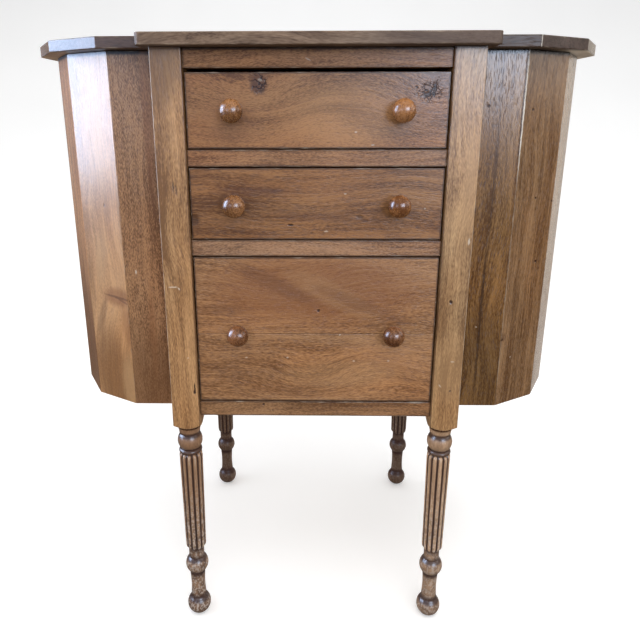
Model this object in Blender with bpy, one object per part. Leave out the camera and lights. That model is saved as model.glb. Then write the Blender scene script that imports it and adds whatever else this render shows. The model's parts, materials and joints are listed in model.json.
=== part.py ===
"""Sewing cabinet: a case of three drawers on four turned and reeded legs,
with a faceted pocket under a hinged lid on each side.

Metres, +Z up. The front faces -Y. The origin is on the floor, under the middle of the cabinet.
"""

import math

import bmesh
import bpy
from mathutils import Matrix, Vector

# Fits
FIT = 0.0003
DRAWER_SIDE_CLEARANCE = 0.0015
DRAWER_BACK_CLEARANCE = 0.008
PIN_CLEARANCE = 0.0002
KNUCKLE_CLEARANCE = 0.0004
LID_GAP = 0.001

# Case
HEIGHT = 0.737
CASE_WIDTH = 0.347
CASE_DEPTH = 0.336
POST_WIDTH = 0.033
BLOCK_DROP = 0.0137
PANEL_THICKNESS = 0.010
BACK_THICKNESS = 0.008
BACK_RECESS = 0.005

# Centre top
TOP_THICKNESS = 0.0125
TOP_OVERHANG = 0.018
TOP_SIDE_OVERHANG = 0.010
TOP_CORNER_RADIUS = 0.006

# Front rails and the runners level with them
RAIL_RECESS = 0.005
RAIL_DEPTH = 0.022
TOP_RAIL_HEIGHT = 0.020
DIVIDER_HEIGHT = 0.018
BOTTOM_RAIL_HEIGHT = 0.019
RUNNER_WIDTH = 0.016

# Drawers: the height of each opening, and the gaps round each front
TOP_OPENING = 0.0829
MIDDLE_OPENING = 0.0814
BOTTOM_OPENING = 0.1812
TOP_FRONT_GAP = 0.0039
LOWER_FRONT_GAP = 0.0015
FRONT_LIFT = 0.0012
FRONT_THICKNESS = 0.018
FRONT_LIP = 0.008
DRAWER_WALL = 0.010
DRAWER_SIDE_DROP = 0.006
DRAWER_FLOOR = 0.005
DRAWER_FLOOR_LIFT = 0.008
GROOVE_DEPTH = 0.005

# Knobs
KNOB_INSET = 0.0495
KNOB_RADIUS = 0.0125
KNOB_PROJECTION = 0.027
KNOB_DOME = 0.011
KNOB_BASE_RADIUS = 0.007
KNOB_WAIST_RADIUS = 0.0062
KNOB_WAIST_LENGTH = 0.0035
KNOB_TENON_RADIUS = 0.004
KNOB_TENON_LENGTH = 0.012

# Turned leg, from the floor up; the reeded shaft takes the height that is left
FOOT_RADIUS = 0.0155
FOOT_FLAT_RADIUS = 0.0067
ANKLE_LENGTH = 0.042
ANKLE_RADIUS = 0.0102
ANKLE_DIP = 0.001
LOWER_BALL_RADIUS = 0.0149
NECK_LENGTH = 0.0155
NECK_RADIUS = 0.010
REED_RADIUS_LOW = 0.0133
REED_RADIUS_HIGH = 0.0148
REED_DEPTH = 0.0022
REED_TIP = 0.0015
REED_END = 0.006
REED_TOP_GAP = 0.002
BEAD_HEIGHT = 0.0065
BEAD_RADIUS = 0.0145
UPPER_BALL_RADIUS = 0.0155
CREASE_RADIUS = 0.0115
COLLAR_RADIUS = 0.0133
COLLAR_HEIGHT = 0.007
SHOULDER_HEIGHT = 0.008
REEDS = 12
POINTS_PER_REED = 3

# Pockets
POCKET_PROJECTION = 0.1425
POCKET_POST_GAP = 0.002
POCKET_FACET = 0.0645
STAVE_THICKNESS = 0.009
POCKET_FLOOR_THICKNESS = 0.010
FACET_TURN = math.radians(30)

# Lids and their hinges
LID_THICKNESS = 0.0125
LID_OVERHANG = 0.0185
LID_SEAT = 0.0004
HINGE_LENGTH = 0.038
HINGE_SPACING = 0.170
HINGE_RISE = 0.001
LEAF_THICKNESS = 0.0012
LEAF_HEIGHT = 0.009
PIN_RADIUS = 0.0011

# Fineness of the round forms
SMOOTH_ANGLE = math.radians(32)
BALL_STEPS = 5
KNOB_SIDES = 16
KNOB_STEPS = 4
KNUCKLE_SIDES = 14
CORNER_STEPS = 4

# Places worked out from the sizes above
HALF_WIDTH = CASE_WIDTH / 2
HALF_DEPTH = CASE_DEPTH / 2
POST_X = HALF_WIDTH - POST_WIDTH / 2
POST_Y = HALF_DEPTH - POST_WIDTH / 2
INNER_X = HALF_WIDTH - POST_WIDTH
INNER_Y = HALF_DEPTH - POST_WIDTH
POST_TOP = HEIGHT - TOP_THICKNESS - FIT
FRONT_Y = -HALF_DEPTH + RAIL_RECESS
BACK_Y = HALF_DEPTH - BACK_RECESS - BACK_THICKNESS
PANEL_FACE_X = INNER_X + PANEL_THICKNESS

TOP_RAIL_BOTTOM = POST_TOP - TOP_RAIL_HEIGHT
UPPER_RAIL_TOP = TOP_RAIL_BOTTOM - TOP_OPENING
LOWER_RAIL_TOP = UPPER_RAIL_TOP - DIVIDER_HEIGHT - MIDDLE_OPENING
BOTTOM_RAIL_TOP = LOWER_RAIL_TOP - DIVIDER_HEIGHT - BOTTOM_OPENING
CASE_BOTTOM = BOTTOM_RAIL_TOP - BOTTOM_RAIL_HEIGHT

TOP_EDGE_X = HALF_WIDTH + TOP_SIDE_OVERHANG
TOP_EDGE_Y = HALF_DEPTH + TOP_OVERHANG
HINGE_X = TOP_EDGE_X + LID_GAP / 2
HINGE_Z = HEIGHT + HINGE_RISE
KNUCKLE_RADIUS = PIN_RADIUS + PIN_CLEARANCE + LEAF_THICKNESS
# The lid's knuckle takes the middle third of the hinge
MIDDLE_KNUCKLE_HALF = HINGE_LENGTH / 6

# The knobs stand in front of the top's edge, so the case sits back by half of that
KNOB_TIP_Y = FRONT_Y - KNOB_PROJECTION
CASE_SHIFT_Y = -(min(KNOB_TIP_Y, -TOP_EDGE_Y) + TOP_EDGE_Y) / 2


# Meshes


def finished(mesh_data, name):
    """The mesh of a bmesh, with its faces pointing out."""
    bmesh.ops.recalc_face_normals(mesh_data, faces=mesh_data.faces)
    mesh = bpy.data.meshes.new(name)
    mesh_data.to_mesh(mesh)
    mesh_data.free()
    return mesh


def prism(name, outline, low, high, axis="Z"):
    """A flat outline drawn out along an axis; it lies in XY for Z, XZ for Y and YZ for X."""
    point_at = {
        "X": lambda a, b, along: (along, a, b),
        "Y": lambda a, b, along: (a, along, b),
        "Z": lambda a, b, along: (a, b, along),
    }[axis]
    mesh_data = bmesh.new()
    start = [mesh_data.verts.new(point_at(a, b, low)) for a, b in outline]
    end = [mesh_data.verts.new(point_at(a, b, high)) for a, b in outline]
    mesh_data.faces.new(start)
    mesh_data.faces.new(end)
    for index in range(len(outline)):
        after = (index + 1) % len(outline)
        mesh_data.faces.new((start[index], start[after], end[after], end[index]))
    return finished(mesh_data, name)


def board(name, low, high):
    """A plain board between two opposite corners."""
    outline = [(low[0], low[1]), (high[0], low[1]), (high[0], high[1]), (low[0], high[1])]
    return prism(name, outline, low[2], high[2])


def loft(name, rings):
    """A closed skin over rings of points, each with as many points as the next."""
    mesh_data = bmesh.new()
    rows = [[mesh_data.verts.new(point) for point in ring] for ring in rings]
    mesh_data.faces.new(rows[0])
    mesh_data.faces.new(rows[-1])
    for lower, upper in zip(rows, rows[1:]):
        for index in range(len(lower)):
            after = (index + 1) % len(lower)
            mesh_data.faces.new((lower[index], lower[after], upper[after], upper[index]))
    mesh = finished(mesh_data, name)
    mesh.shade_smooth()
    mesh.set_sharp_from_angle(angle=SMOOTH_ANGLE)
    return mesh


def shaped(mesh, tools, operation):
    """The mesh after a union with each tool, or a cut by each."""
    target = bpy.data.objects.new(mesh.name, mesh)
    helpers = [bpy.data.objects.new(tool.name, tool) for tool in tools]
    for helper in [target] + helpers:
        bpy.context.scene.collection.objects.link(helper)
        helper.hide_render = True
    for helper in helpers:
        modifier = target.modifiers.new(helper.name, "BOOLEAN")
        modifier.operation = operation
        modifier.object = helper
    graph = bpy.context.evaluated_depsgraph_get()
    result = bpy.data.meshes.new_from_object(target.evaluated_get(graph))
    result.name = mesh.name
    for helper in [target] + helpers:
        bpy.data.objects.remove(helper)
    return result


def circle(radius, sides, height):
    """A level ring of points round the Z axis."""
    turns = [2 * math.pi * index / sides for index in range(sides)]
    return [(radius * math.cos(turn), radius * math.sin(turn), height) for turn in turns]


def rod(name, radius, low, high, sides):
    """A round bar along Y."""
    outline = [(x, z) for x, z, _ in circle(radius, sides, 0)]
    return prism(name, outline, low, high, "Y")


# Scene


def material(name, colour, roughness, metallic=0.0):
    """A plain finish: colour, gloss and whether it is metal."""
    finish = bpy.data.materials.new(name)
    finish.use_nodes = True
    shader = finish.node_tree.nodes["Principled BSDF"]
    shader.inputs["Base Color"].default_value = (*colour, 1.0)
    shader.inputs["Roughness"].default_value = roughness
    shader.inputs["Metallic"].default_value = metallic
    return finish


def empty(name, parent=None, location=(0, 0, 0), turn=0.0):
    """A holder that pieces hang on; turn is about Z."""
    holder = bpy.data.objects.new(name, None)
    holder.parent = parent
    holder.location = location
    holder.rotation_euler.z = turn
    bpy.context.scene.collection.objects.link(holder)
    return holder


def place(name, mesh, finish, parent, location=(0, 0, 0), rotation=(0, 0, 0)):
    """One piece of the cabinet, under its holder."""
    piece = bpy.data.objects.new(name, mesh)
    if not mesh.materials:
        mesh.materials.append(finish)
    piece.parent = parent
    piece.location = location
    piece.rotation_euler = rotation
    bpy.context.scene.collection.objects.link(piece)
    return piece


# Turned legs


LEG_SIDES = REEDS * POINTS_PER_REED
# A quarter of the way round is a corner of the block, so one point has to lie at 45 degrees
LEG_TURNS = [math.pi / 4 + 2 * math.pi * index / LEG_SIDES for index in range(LEG_SIDES)]


def leg_ring(height, radius_at):
    """A ring of the leg; radius_at gives the radius for a point's number and its turn."""
    ring = []
    for index, turn in enumerate(LEG_TURNS):
        radius = radius_at(index, turn)
        ring.append((radius * math.cos(turn), radius * math.sin(turn), height))
    return ring


def round_ring(height, radius):
    return leg_ring(height, lambda index, turn: radius)


def reeded_ring(height, radius, depth):
    """A ring of reeds: one point of each reed lies in the groove beside it."""
    return leg_ring(height, lambda index, turn: radius - (0 if index % POINTS_PER_REED else depth))


def block_ring(height, limit):
    """The square block, turned away where it is wider than the limit."""

    def radius_at(index, turn):
        to_face = POST_WIDTH / 2 / max(abs(math.cos(turn)), abs(math.sin(turn)))
        return min(limit, to_face)

    return leg_ring(height, radius_at)


def ball(centre, radius, low_radius, high_radius):
    """Rings of a turned ball, from the radius where it starts to the one where it ends."""
    low = -math.acos(low_radius / radius)
    high = math.acos(high_radius / radius)
    rings = []
    for step in range(BALL_STEPS + 1):
        angle = low + (high - low) * step / BALL_STEPS
        rings.append(round_ring(centre + radius * math.sin(angle), radius * math.cos(angle)))
    return rings


def bead(low, height, radius):
    """Rings of a half-round bead."""
    rings = []
    for angle in (-90, -30, 30, 90):
        turn = math.radians(angle)
        level = low + height * (1 + math.sin(turn)) / 2
        rings.append(round_ring(level, radius - height * (1 - math.cos(turn)) / 2))
    return rings


def half_height(radius, end_radius):
    """From the middle of a ball to the level where it has narrowed to end_radius."""
    return math.sqrt(radius**2 - end_radius**2)


def post_mesh():
    """A corner post: a square block over a leg turned from the same piece of wood."""
    corner = POST_WIDTH / math.sqrt(2)
    foot_centre = half_height(FOOT_RADIUS, FOOT_FLAT_RADIUS)
    ankle_low = foot_centre + half_height(FOOT_RADIUS, ANKLE_RADIUS)
    ankle_high = ankle_low + ANKLE_LENGTH
    ball_centre = ankle_high + half_height(LOWER_BALL_RADIUS, ANKLE_RADIUS)
    reed_low = ball_centre + half_height(LOWER_BALL_RADIUS, NECK_RADIUS) + NECK_LENGTH
    block_bottom = CASE_BOTTOM - BLOCK_DROP
    shoulder_low = block_bottom - SHOULDER_HEIGHT
    collar_low = shoulder_low - COLLAR_HEIGHT
    crease_half = half_height(UPPER_BALL_RADIUS, CREASE_RADIUS)
    upper_centre = collar_low - crease_half
    bead_low = upper_centre - crease_half - BEAD_HEIGHT

    rings = ball(foot_centre, FOOT_RADIUS, FOOT_FLAT_RADIUS, ANKLE_RADIUS)
    rings.append(round_ring((ankle_low + ankle_high) / 2, ANKLE_RADIUS - ANKLE_DIP))
    rings += ball(ball_centre, LOWER_BALL_RADIUS, ANKLE_RADIUS, NECK_RADIUS)
    rings.append(round_ring(reed_low, NECK_RADIUS))
    rings.append(reeded_ring(reed_low + REED_TIP, (NECK_RADIUS + REED_RADIUS_LOW) / 2, REED_DEPTH / 2))
    rings.append(reeded_ring(reed_low + REED_END, REED_RADIUS_LOW, REED_DEPTH))
    rings.append(reeded_ring(bead_low - REED_TOP_GAP, REED_RADIUS_HIGH, REED_DEPTH))
    rings += bead(bead_low, BEAD_HEIGHT, BEAD_RADIUS)
    rings += ball(upper_centre, UPPER_BALL_RADIUS, CREASE_RADIUS, CREASE_RADIUS)[1:]
    rings.append(round_ring(collar_low + FIT, COLLAR_RADIUS))
    rings.append(round_ring(shoulder_low, COLLAR_RADIUS))
    rings.append(block_ring((shoulder_low + block_bottom) / 2, (COLLAR_RADIUS + corner) / 2))
    rings.append(block_ring(block_bottom, corner))
    rings.append(block_ring(POST_TOP, corner))
    return loft("post", rings)


# Case


def rail_levels():
    """Name, lowest and highest level of each front rail."""
    return (
        ("rail_top", TOP_RAIL_BOTTOM, POST_TOP),
        ("rail_upper", UPPER_RAIL_TOP - DIVIDER_HEIGHT, UPPER_RAIL_TOP),
        ("rail_lower", LOWER_RAIL_TOP - DIVIDER_HEIGHT, LOWER_RAIL_TOP),
        ("rail_bottom", CASE_BOTTOM, BOTTOM_RAIL_TOP),
    )


def side_panel_mesh():
    """A case side with the drawer runners glued to its inner face."""
    outline = [(PANEL_FACE_X, POST_TOP), (PANEL_FACE_X, CASE_BOTTOM)]
    runner_levels = [(low, high) for _, low, high in rail_levels()[:0:-1]]
    for low, high in runner_levels:
        if low > CASE_BOTTOM:
            outline.append((INNER_X, low))
        outline += [(INNER_X - RUNNER_WIDTH, low), (INNER_X - RUNNER_WIDTH, high), (INNER_X, high)]
    outline.append((INNER_X, POST_TOP))
    return prism("side_panel", outline, -INNER_Y + FIT, INNER_Y - FIT, "Y")


def rounded_rectangle(half_x, half_y, radius):
    """Corner points of a rectangle with quarter-round corners."""
    outline = []
    for quarter, (side_x, side_y) in enumerate(((1, 1), (-1, 1), (-1, -1), (1, -1))):
        centre = Vector((side_x * (half_x - radius), side_y * (half_y - radius)))
        for step in range(CORNER_STEPS + 1):
            turn = math.pi / 2 * (quarter + step / CORNER_STEPS)
            outline.append(tuple(centre + radius * Vector((math.cos(turn), math.sin(turn)))))
    return outline


def hinge_recess(name, middle_y):
    """The cut for one hinge in the two edges that meet there, with the pin's axis at X = Z = 0."""
    half_leaf = LID_GAP / 2 + LEAF_THICKNESS + FIT
    half_knuckle = max(KNUCKLE_RADIUS + KNUCKLE_CLEARANCE, half_leaf + FIT)
    leaf_bottom = -HINGE_RISE - LEAF_HEIGHT - FIT
    knuckle_bottom = -KNUCKLE_RADIUS - KNUCKLE_CLEARANCE
    above = HINGE_RISE + KNUCKLE_RADIUS
    right = [(half_leaf, leaf_bottom), (half_leaf, knuckle_bottom), (half_knuckle, knuckle_bottom)]
    outline = right + [(half_knuckle, above)]
    outline += [(-x, z) for x, z in reversed(outline)]
    reach = HINGE_LENGTH / 2 + FIT
    return prism(name, outline, middle_y - reach, middle_y + reach, "Y")


HINGE_PLACES = (("front", -HINGE_SPACING / 2), ("back", HINGE_SPACING / 2))


def centre_top_mesh():
    outline = rounded_rectangle(TOP_EDGE_X, TOP_EDGE_Y, TOP_CORNER_RADIUS)
    plain = prism("centre_top", outline, HEIGHT - TOP_THICKNESS, HEIGHT)
    recesses = []
    for side in (-1, 1):
        for where, middle_y in HINGE_PLACES:
            recess = hinge_recess(f"recess_{side}_{where}", middle_y)
            recess.transform(Matrix.Translation((side * HINGE_X, 0, HINGE_Z)))
            recesses.append(recess)
    return shaped(plain, recesses, "DIFFERENCE")


# Pockets and lids


def pocket_path(start_x):
    """The pocket's outer faces in plan, from its front end at the case round to its back end."""
    reach = HALF_WIDTH + POCKET_PROJECTION
    front = -INNER_Y + POCKET_POST_GAP
    third = Vector((reach, front + POCKET_FACET * (math.sin(FACET_TURN) + math.cos(FACET_TURN))))
    second = third - POCKET_FACET * Vector((math.sin(FACET_TURN), math.cos(FACET_TURN)))
    first = second - POCKET_FACET * Vector((math.cos(FACET_TURN), math.sin(FACET_TURN)))
    front_half = [Vector((start_x, front)), first, second, third]
    return front_half + [Vector((point.x, -point.y)) for point in reversed(front_half)]


def offset_path(path, distance):
    """The path moved outwards by a distance, with its corners kept sharp."""
    normals = []
    for start, end in zip(path, path[1:]):
        along = (end - start).normalized()
        normals.append(Vector((along.y, -along.x)))
    moved = [path[0] + distance * normals[0]]
    for point, before, after in zip(path[1:-1], normals, normals[1:]):
        moved.append(point + distance * (before + after) / (1 + before.dot(after)))
    moved.append(path[-1] + distance * normals[-1])
    return moved


def stave_meshes():
    """The mitred boards of one pocket's wall, from front to back."""
    outer = pocket_path(PANEL_FACE_X + FIT / 2)
    inner = offset_path(outer, -STAVE_THICKNESS)
    top = HEIGHT - LID_THICKNESS - LID_SEAT
    meshes = []
    for index in range(len(outer) - 1):
        along = (outer[index + 1] - outer[index]).normalized() * FIT / 2
        outline = [outer[index] + along, outer[index + 1] - along]
        outline += [inner[index + 1] - along, inner[index] + along]
        meshes.append(prism(f"stave_{index + 1}", [tuple(point) for point in outline], CASE_BOTTOM, top))
    return meshes


def pocket_floor_mesh():
    path = offset_path(pocket_path(PANEL_FACE_X + FIT), -STAVE_THICKNESS - FIT)
    outline = [tuple(point) for point in path]
    return prism("pocket_floor", outline, CASE_BOTTOM, CASE_BOTTOM + POCKET_FLOOR_THICKNESS)


def lid_mesh():
    """The lid in its hinge's frame: the pin's axis is X = Z = 0."""
    path = offset_path(pocket_path(HINGE_X + LID_GAP / 2), LID_OVERHANG)
    outline = [(point.x - HINGE_X, point.y) for point in path]
    plain = prism("lid", outline, -HINGE_RISE - LID_THICKNESS, -HINGE_RISE)
    return shaped(plain, [hinge_recess(f"recess_{where}", y) for where, y in HINGE_PLACES], "DIFFERENCE")


def leaf_strip(side, top):
    """A leaf's section on one side of the pin, from its lower edge up to a level."""
    near = side * LID_GAP / 2
    far = side * (LID_GAP / 2 + LEAF_THICKNESS)
    bottom = -HINGE_RISE - LEAF_HEIGHT
    return [(near, bottom), (far, bottom), (far, top), (near, top)]


def fixed_leaf_mesh():
    """The leaf on the centre top, with the two outer knuckles and the pin."""
    half = HINGE_LENGTH / 2
    inner = MIDDLE_KNUCKLE_HALF
    plate = prism("fixed_leaf", leaf_strip(-1, -KNUCKLE_RADIUS - KNUCKLE_CLEARANCE), -half, half, "Y")
    tools = [rod("pin", PIN_RADIUS, -half + FIT, half - FIT, KNUCKLE_SIDES)]
    for low, high in ((-half, -inner - FIT), (inner + FIT, half)):
        tools.append(prism("tab", leaf_strip(-1, 0), low, high, "Y"))
        tools.append(rod("knuckle", KNUCKLE_RADIUS, low, high, KNUCKLE_SIDES))
    return shaped(plate, tools, "UNION")


def moving_leaf_mesh():
    """The leaf on the lid, with the middle knuckle bored for the pin."""
    half = HINGE_LENGTH / 2
    inner = MIDDLE_KNUCKLE_HALF
    plate = prism("moving_leaf", leaf_strip(1, -KNUCKLE_RADIUS - KNUCKLE_CLEARANCE), -half, half, "Y")
    tab = prism("tab", leaf_strip(1, 0), -inner, inner, "Y")
    knuckle = rod("knuckle", KNUCKLE_RADIUS, -inner, inner, KNUCKLE_SIDES)
    bore = rod("bore", PIN_RADIUS + PIN_CLEARANCE, -half, half, KNUCKLE_SIDES)
    return shaped(shaped(plate, [tab, knuckle], "UNION"), [bore], "DIFFERENCE")


# Drawers


def knob_mesh():
    """A turned pear knob on a tenon; it stands out along +Z from the drawer's face at Z = 0."""
    widest = KNOB_PROJECTION - KNOB_DOME
    rings = [
        circle(KNOB_TENON_RADIUS, KNOB_SIDES, -KNOB_TENON_LENGTH),
        circle(KNOB_TENON_RADIUS, KNOB_SIDES, FIT),
        circle(KNOB_BASE_RADIUS, KNOB_SIDES, FIT),
    ]
    for step in range(KNOB_STEPS + 1):
        share = step / KNOB_STEPS
        swell = math.sin(share * math.pi / 2)
        level = KNOB_WAIST_LENGTH + (widest - KNOB_WAIST_LENGTH) * share
        rings.append(circle(KNOB_WAIST_RADIUS + (KNOB_RADIUS - KNOB_WAIST_RADIUS) * swell, KNOB_SIDES, level))
    # The last ring stops half a step short of the tip, which is left flat
    for step in range(1, KNOB_STEPS + 1):
        turn = math.pi / 2 * step / (KNOB_STEPS + 0.5)
        rings.append(circle(KNOB_RADIUS * math.cos(turn), KNOB_SIDES, widest + KNOB_DOME * math.sin(turn)))
    return loft("knob", rings)


def build_drawer(name, holder, opening, gap_above, finishes, knob):
    """One drawer. Its holder is at the middle of the front's face, level with the rail it runs on."""
    half = INNER_X - DRAWER_SIDE_CLEARANCE
    length = BACK_Y - DRAWER_BACK_CLEARANCE - FRONT_Y
    front_top = opening - gap_above
    wall_top = front_top - DRAWER_SIDE_DROP
    wall_inner = half - DRAWER_WALL
    floor_low = FIT + DRAWER_FLOOR_LIFT
    floor_high = floor_low + DRAWER_FLOOR
    knob_x = half - KNOB_INSET
    knob_level = (FRONT_LIFT + front_top) / 2

    groove = board(
        "groove",
        (-wall_inner - GROOVE_DEPTH, FRONT_THICKNESS - GROOVE_DEPTH, floor_low - FIT),
        (wall_inner + GROOVE_DEPTH, length + DRAWER_WALL, floor_high + FIT),
    )
    # The sides fit into rebates behind the front's lip
    section = [(-half, 0), (half, 0), (half, FRONT_LIP), (wall_inner - FIT, FRONT_LIP)]
    section += [(wall_inner - FIT, FRONT_THICKNESS), (-wall_inner + FIT, FRONT_THICKNESS)]
    section += [(-wall_inner + FIT, FRONT_LIP), (-half, FRONT_LIP)]
    plain_front = prism(f"{name}_front", section, FRONT_LIFT, front_top)
    bores = []
    for side in (-1, 1):
        bore = rod("bore", KNOB_TENON_RADIUS + FIT, -FRONT_LIP, KNOB_TENON_LENGTH + FIT, KNOB_SIDES)
        bore.transform(Matrix.Translation((side * knob_x, 0, knob_level)))
        bores.append(bore)
    front = shaped(plain_front, bores + [groove], "DIFFERENCE")
    place(f"{name}_front", front, finishes["front"], holder)

    for side, word in ((-1, "left"), (1, "right")):
        faces = sorted((side * half, side * wall_inner))
        low = (faces[0], FRONT_LIP + FIT, FIT)
        wall = board(f"{name}_side_{word}", low, (faces[1], length, wall_top))
        cut_wall = shaped(wall, [groove.copy()], "DIFFERENCE")
        place(f"{name}_side_{word}", cut_wall, finishes["inner"], holder)
        turn = (math.pi / 2, 0, 0)
        knob_place = (side * knob_x, 0, knob_level)
        place(f"{name}_knob_{word}", knob, finishes["knob"], holder, knob_place, turn)

    back = board(
        f"{name}_back",
        (-wall_inner + FIT, length - DRAWER_WALL, floor_high + FIT),
        (wall_inner - FIT, length, wall_top),
    )
    place(f"{name}_back", back, finishes["inner"], holder)
    floor = board(
        f"{name}_floor",
        (-wall_inner - GROOVE_DEPTH + FIT, FRONT_THICKNESS - GROOVE_DEPTH + FIT, floor_low),
        (wall_inner + GROOVE_DEPTH - FIT, length, floor_high),
    )
    place(f"{name}_floor", floor, finishes["inner"], holder)


# The whole cabinet


def build_case(cabinet, finishes):
    place("centre_top", centre_top_mesh(), finishes["top"], cabinet)
    post = post_mesh()
    for row, side_y in (("front", -1), ("back", 1)):
        for word, side_x in (("left", -1), ("right", 1)):
            corner = (side_x * POST_X, side_y * POST_Y, 0)
            place(f"post_{row}_{word}", post, finishes["post"], cabinet, corner)
    reach = INNER_X - FIT
    for name, low, high in rail_levels():
        rail = board(name, (-reach, FRONT_Y, low), (reach, FRONT_Y + RAIL_DEPTH, high))
        place(name, rail, finishes["rail"], cabinet)
    low = (-reach, BACK_Y, CASE_BOTTOM)
    high = (reach, BACK_Y + BACK_THICKNESS, POST_TOP)
    place("back_panel", board("back_panel", low, high), finishes["pocket"], cabinet)


def build_sides(cabinet, finishes):
    """Side panel, pocket and lid of each side; the left is the right turned half round."""
    panel = side_panel_mesh()
    floor = pocket_floor_mesh()
    staves = stave_meshes()
    lid = lid_mesh()
    fixed_leaf = fixed_leaf_mesh()
    moving_leaf = moving_leaf_mesh()
    for word, turn in (("right", 0.0), ("left", math.pi)):
        side = empty(f"side_{word}", cabinet, turn=turn)
        place(f"side_panel_{word}", panel, finishes["pocket"], side)
        place(f"pocket_floor_{word}", floor, finishes["inner"], side)
        front_first = staves if word == "right" else staves[::-1]
        for number, stave in enumerate(front_first, 1):
            place(f"pocket_stave_{word}_{number}", stave, finishes["pocket"], side)
        hinge = empty(f"lid_hinge_{word}", side, (HINGE_X, 0, HINGE_Z))
        place(f"lid_{word}", lid, finishes["top"], hinge)
        places = HINGE_PLACES if word == "right" else [(where, -y) for where, y in HINGE_PLACES]
        for where, middle_y in places:
            place(f"hinge_fixed_{word}_{where}", fixed_leaf, finishes["brass"], hinge, (0, middle_y, 0))
            place(f"hinge_moving_{word}_{where}", moving_leaf, finishes["brass"], hinge, (0, middle_y, 0))


def build_drawers(cabinet, finishes):
    knob = knob_mesh()
    drawers = (
        ("drawer_top", UPPER_RAIL_TOP, TOP_OPENING, TOP_FRONT_GAP),
        ("drawer_middle", LOWER_RAIL_TOP, MIDDLE_OPENING, LOWER_FRONT_GAP),
        ("drawer_bottom", BOTTOM_RAIL_TOP, BOTTOM_OPENING, LOWER_FRONT_GAP),
    )
    for name, level, opening, gap_above in drawers:
        holder = empty(f"{name}_slide", cabinet, (0, FRONT_Y, level))
        build_drawer(name, holder, opening, gap_above, finishes, knob)


def build_cabinet():
    for old in list(bpy.data.objects):
        bpy.data.objects.remove(old)
    finishes = {
        "top": material("top_wood", (0.165, 0.090, 0.049), 0.38),
        "post": material("post_wood", (0.270, 0.150, 0.065), 0.42),
        "rail": material("rail_wood", (0.200, 0.098, 0.042), 0.42),
        "front": material("front_wood", (0.205, 0.088, 0.034), 0.40),
        "knob": material("knob_wood", (0.120, 0.040, 0.018), 0.25),
        "pocket": material("pocket_wood", (0.170, 0.085, 0.036), 0.36),
        "inner": material("inner_wood", (0.420, 0.290, 0.160), 0.60),
        "brass": material("hinge_brass", (0.560, 0.400, 0.150), 0.35, 1.0),
    }
    cabinet = empty("cabinet", location=(0, CASE_SHIFT_Y, 0))
    build_case(cabinet, finishes)
    build_sides(cabinet, finishes)
    build_drawers(cabinet, finishes)


build_cabinet()
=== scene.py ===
"""Looks of the sewing cabinet: worn varnished wood, with turned legs and knobs as fine meshes."""

import json
import math
import random
from collections import namedtuple

import bmesh
import bpy
import numpy as np
from mathutils import Matrix, Vector

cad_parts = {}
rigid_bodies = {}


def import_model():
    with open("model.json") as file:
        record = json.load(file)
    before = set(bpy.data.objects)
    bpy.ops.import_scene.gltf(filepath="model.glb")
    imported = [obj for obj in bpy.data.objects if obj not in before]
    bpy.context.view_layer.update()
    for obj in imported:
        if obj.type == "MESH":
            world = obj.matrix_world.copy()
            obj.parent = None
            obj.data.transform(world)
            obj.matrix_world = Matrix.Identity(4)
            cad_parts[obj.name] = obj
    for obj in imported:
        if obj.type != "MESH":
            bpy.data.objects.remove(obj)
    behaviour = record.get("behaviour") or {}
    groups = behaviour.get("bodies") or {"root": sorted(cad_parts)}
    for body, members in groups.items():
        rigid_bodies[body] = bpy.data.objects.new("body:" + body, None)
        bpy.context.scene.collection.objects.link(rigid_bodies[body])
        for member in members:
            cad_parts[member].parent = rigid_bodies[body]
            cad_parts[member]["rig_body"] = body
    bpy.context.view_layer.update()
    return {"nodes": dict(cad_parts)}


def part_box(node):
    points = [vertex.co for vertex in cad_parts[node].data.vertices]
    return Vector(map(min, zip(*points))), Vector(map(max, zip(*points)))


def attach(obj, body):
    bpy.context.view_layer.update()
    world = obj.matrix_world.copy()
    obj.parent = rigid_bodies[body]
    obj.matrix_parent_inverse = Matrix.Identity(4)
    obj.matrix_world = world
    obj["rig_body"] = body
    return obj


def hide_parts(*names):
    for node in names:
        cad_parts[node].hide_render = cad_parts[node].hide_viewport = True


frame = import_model()

# Camera, at the photograph's angle
LENS_MM = 33.6
SENSOR_MM = 36.0
CAMERA_PLACE = (-0.0103, -0.8197, 0.6571)
CAMERA_TURN = math.radians(0.96)
CAMERA_DIP = math.radians(16.19)
CAMERA_ROLL = math.radians(-0.11)
CAMERA_SHIFT = (0.0358, -0.0492)

# Easing of the boards' edges
WELD = 0.00002
FLAT_ANGLE = math.radians(1)
SHARP_ANGLE = math.radians(20)
CORNER_ANGLE = math.radians(26)
NEAR = 0.0002
EASE_STEPS = 3
# Edges shorter than this many widths of the rounding get no worn rim beside them
SHORT_EDGE = 1.2
HINGE_MARGIN = 0.004
RECESS_MARGIN = 0.008
RECESS_REACH = 0.14

X_AXIS = Vector((1, 0, 0))
Y_AXIS = Vector((0, 1, 0))
Z_AXIS = Vector((0, 0, 1))


# Node trees


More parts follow.
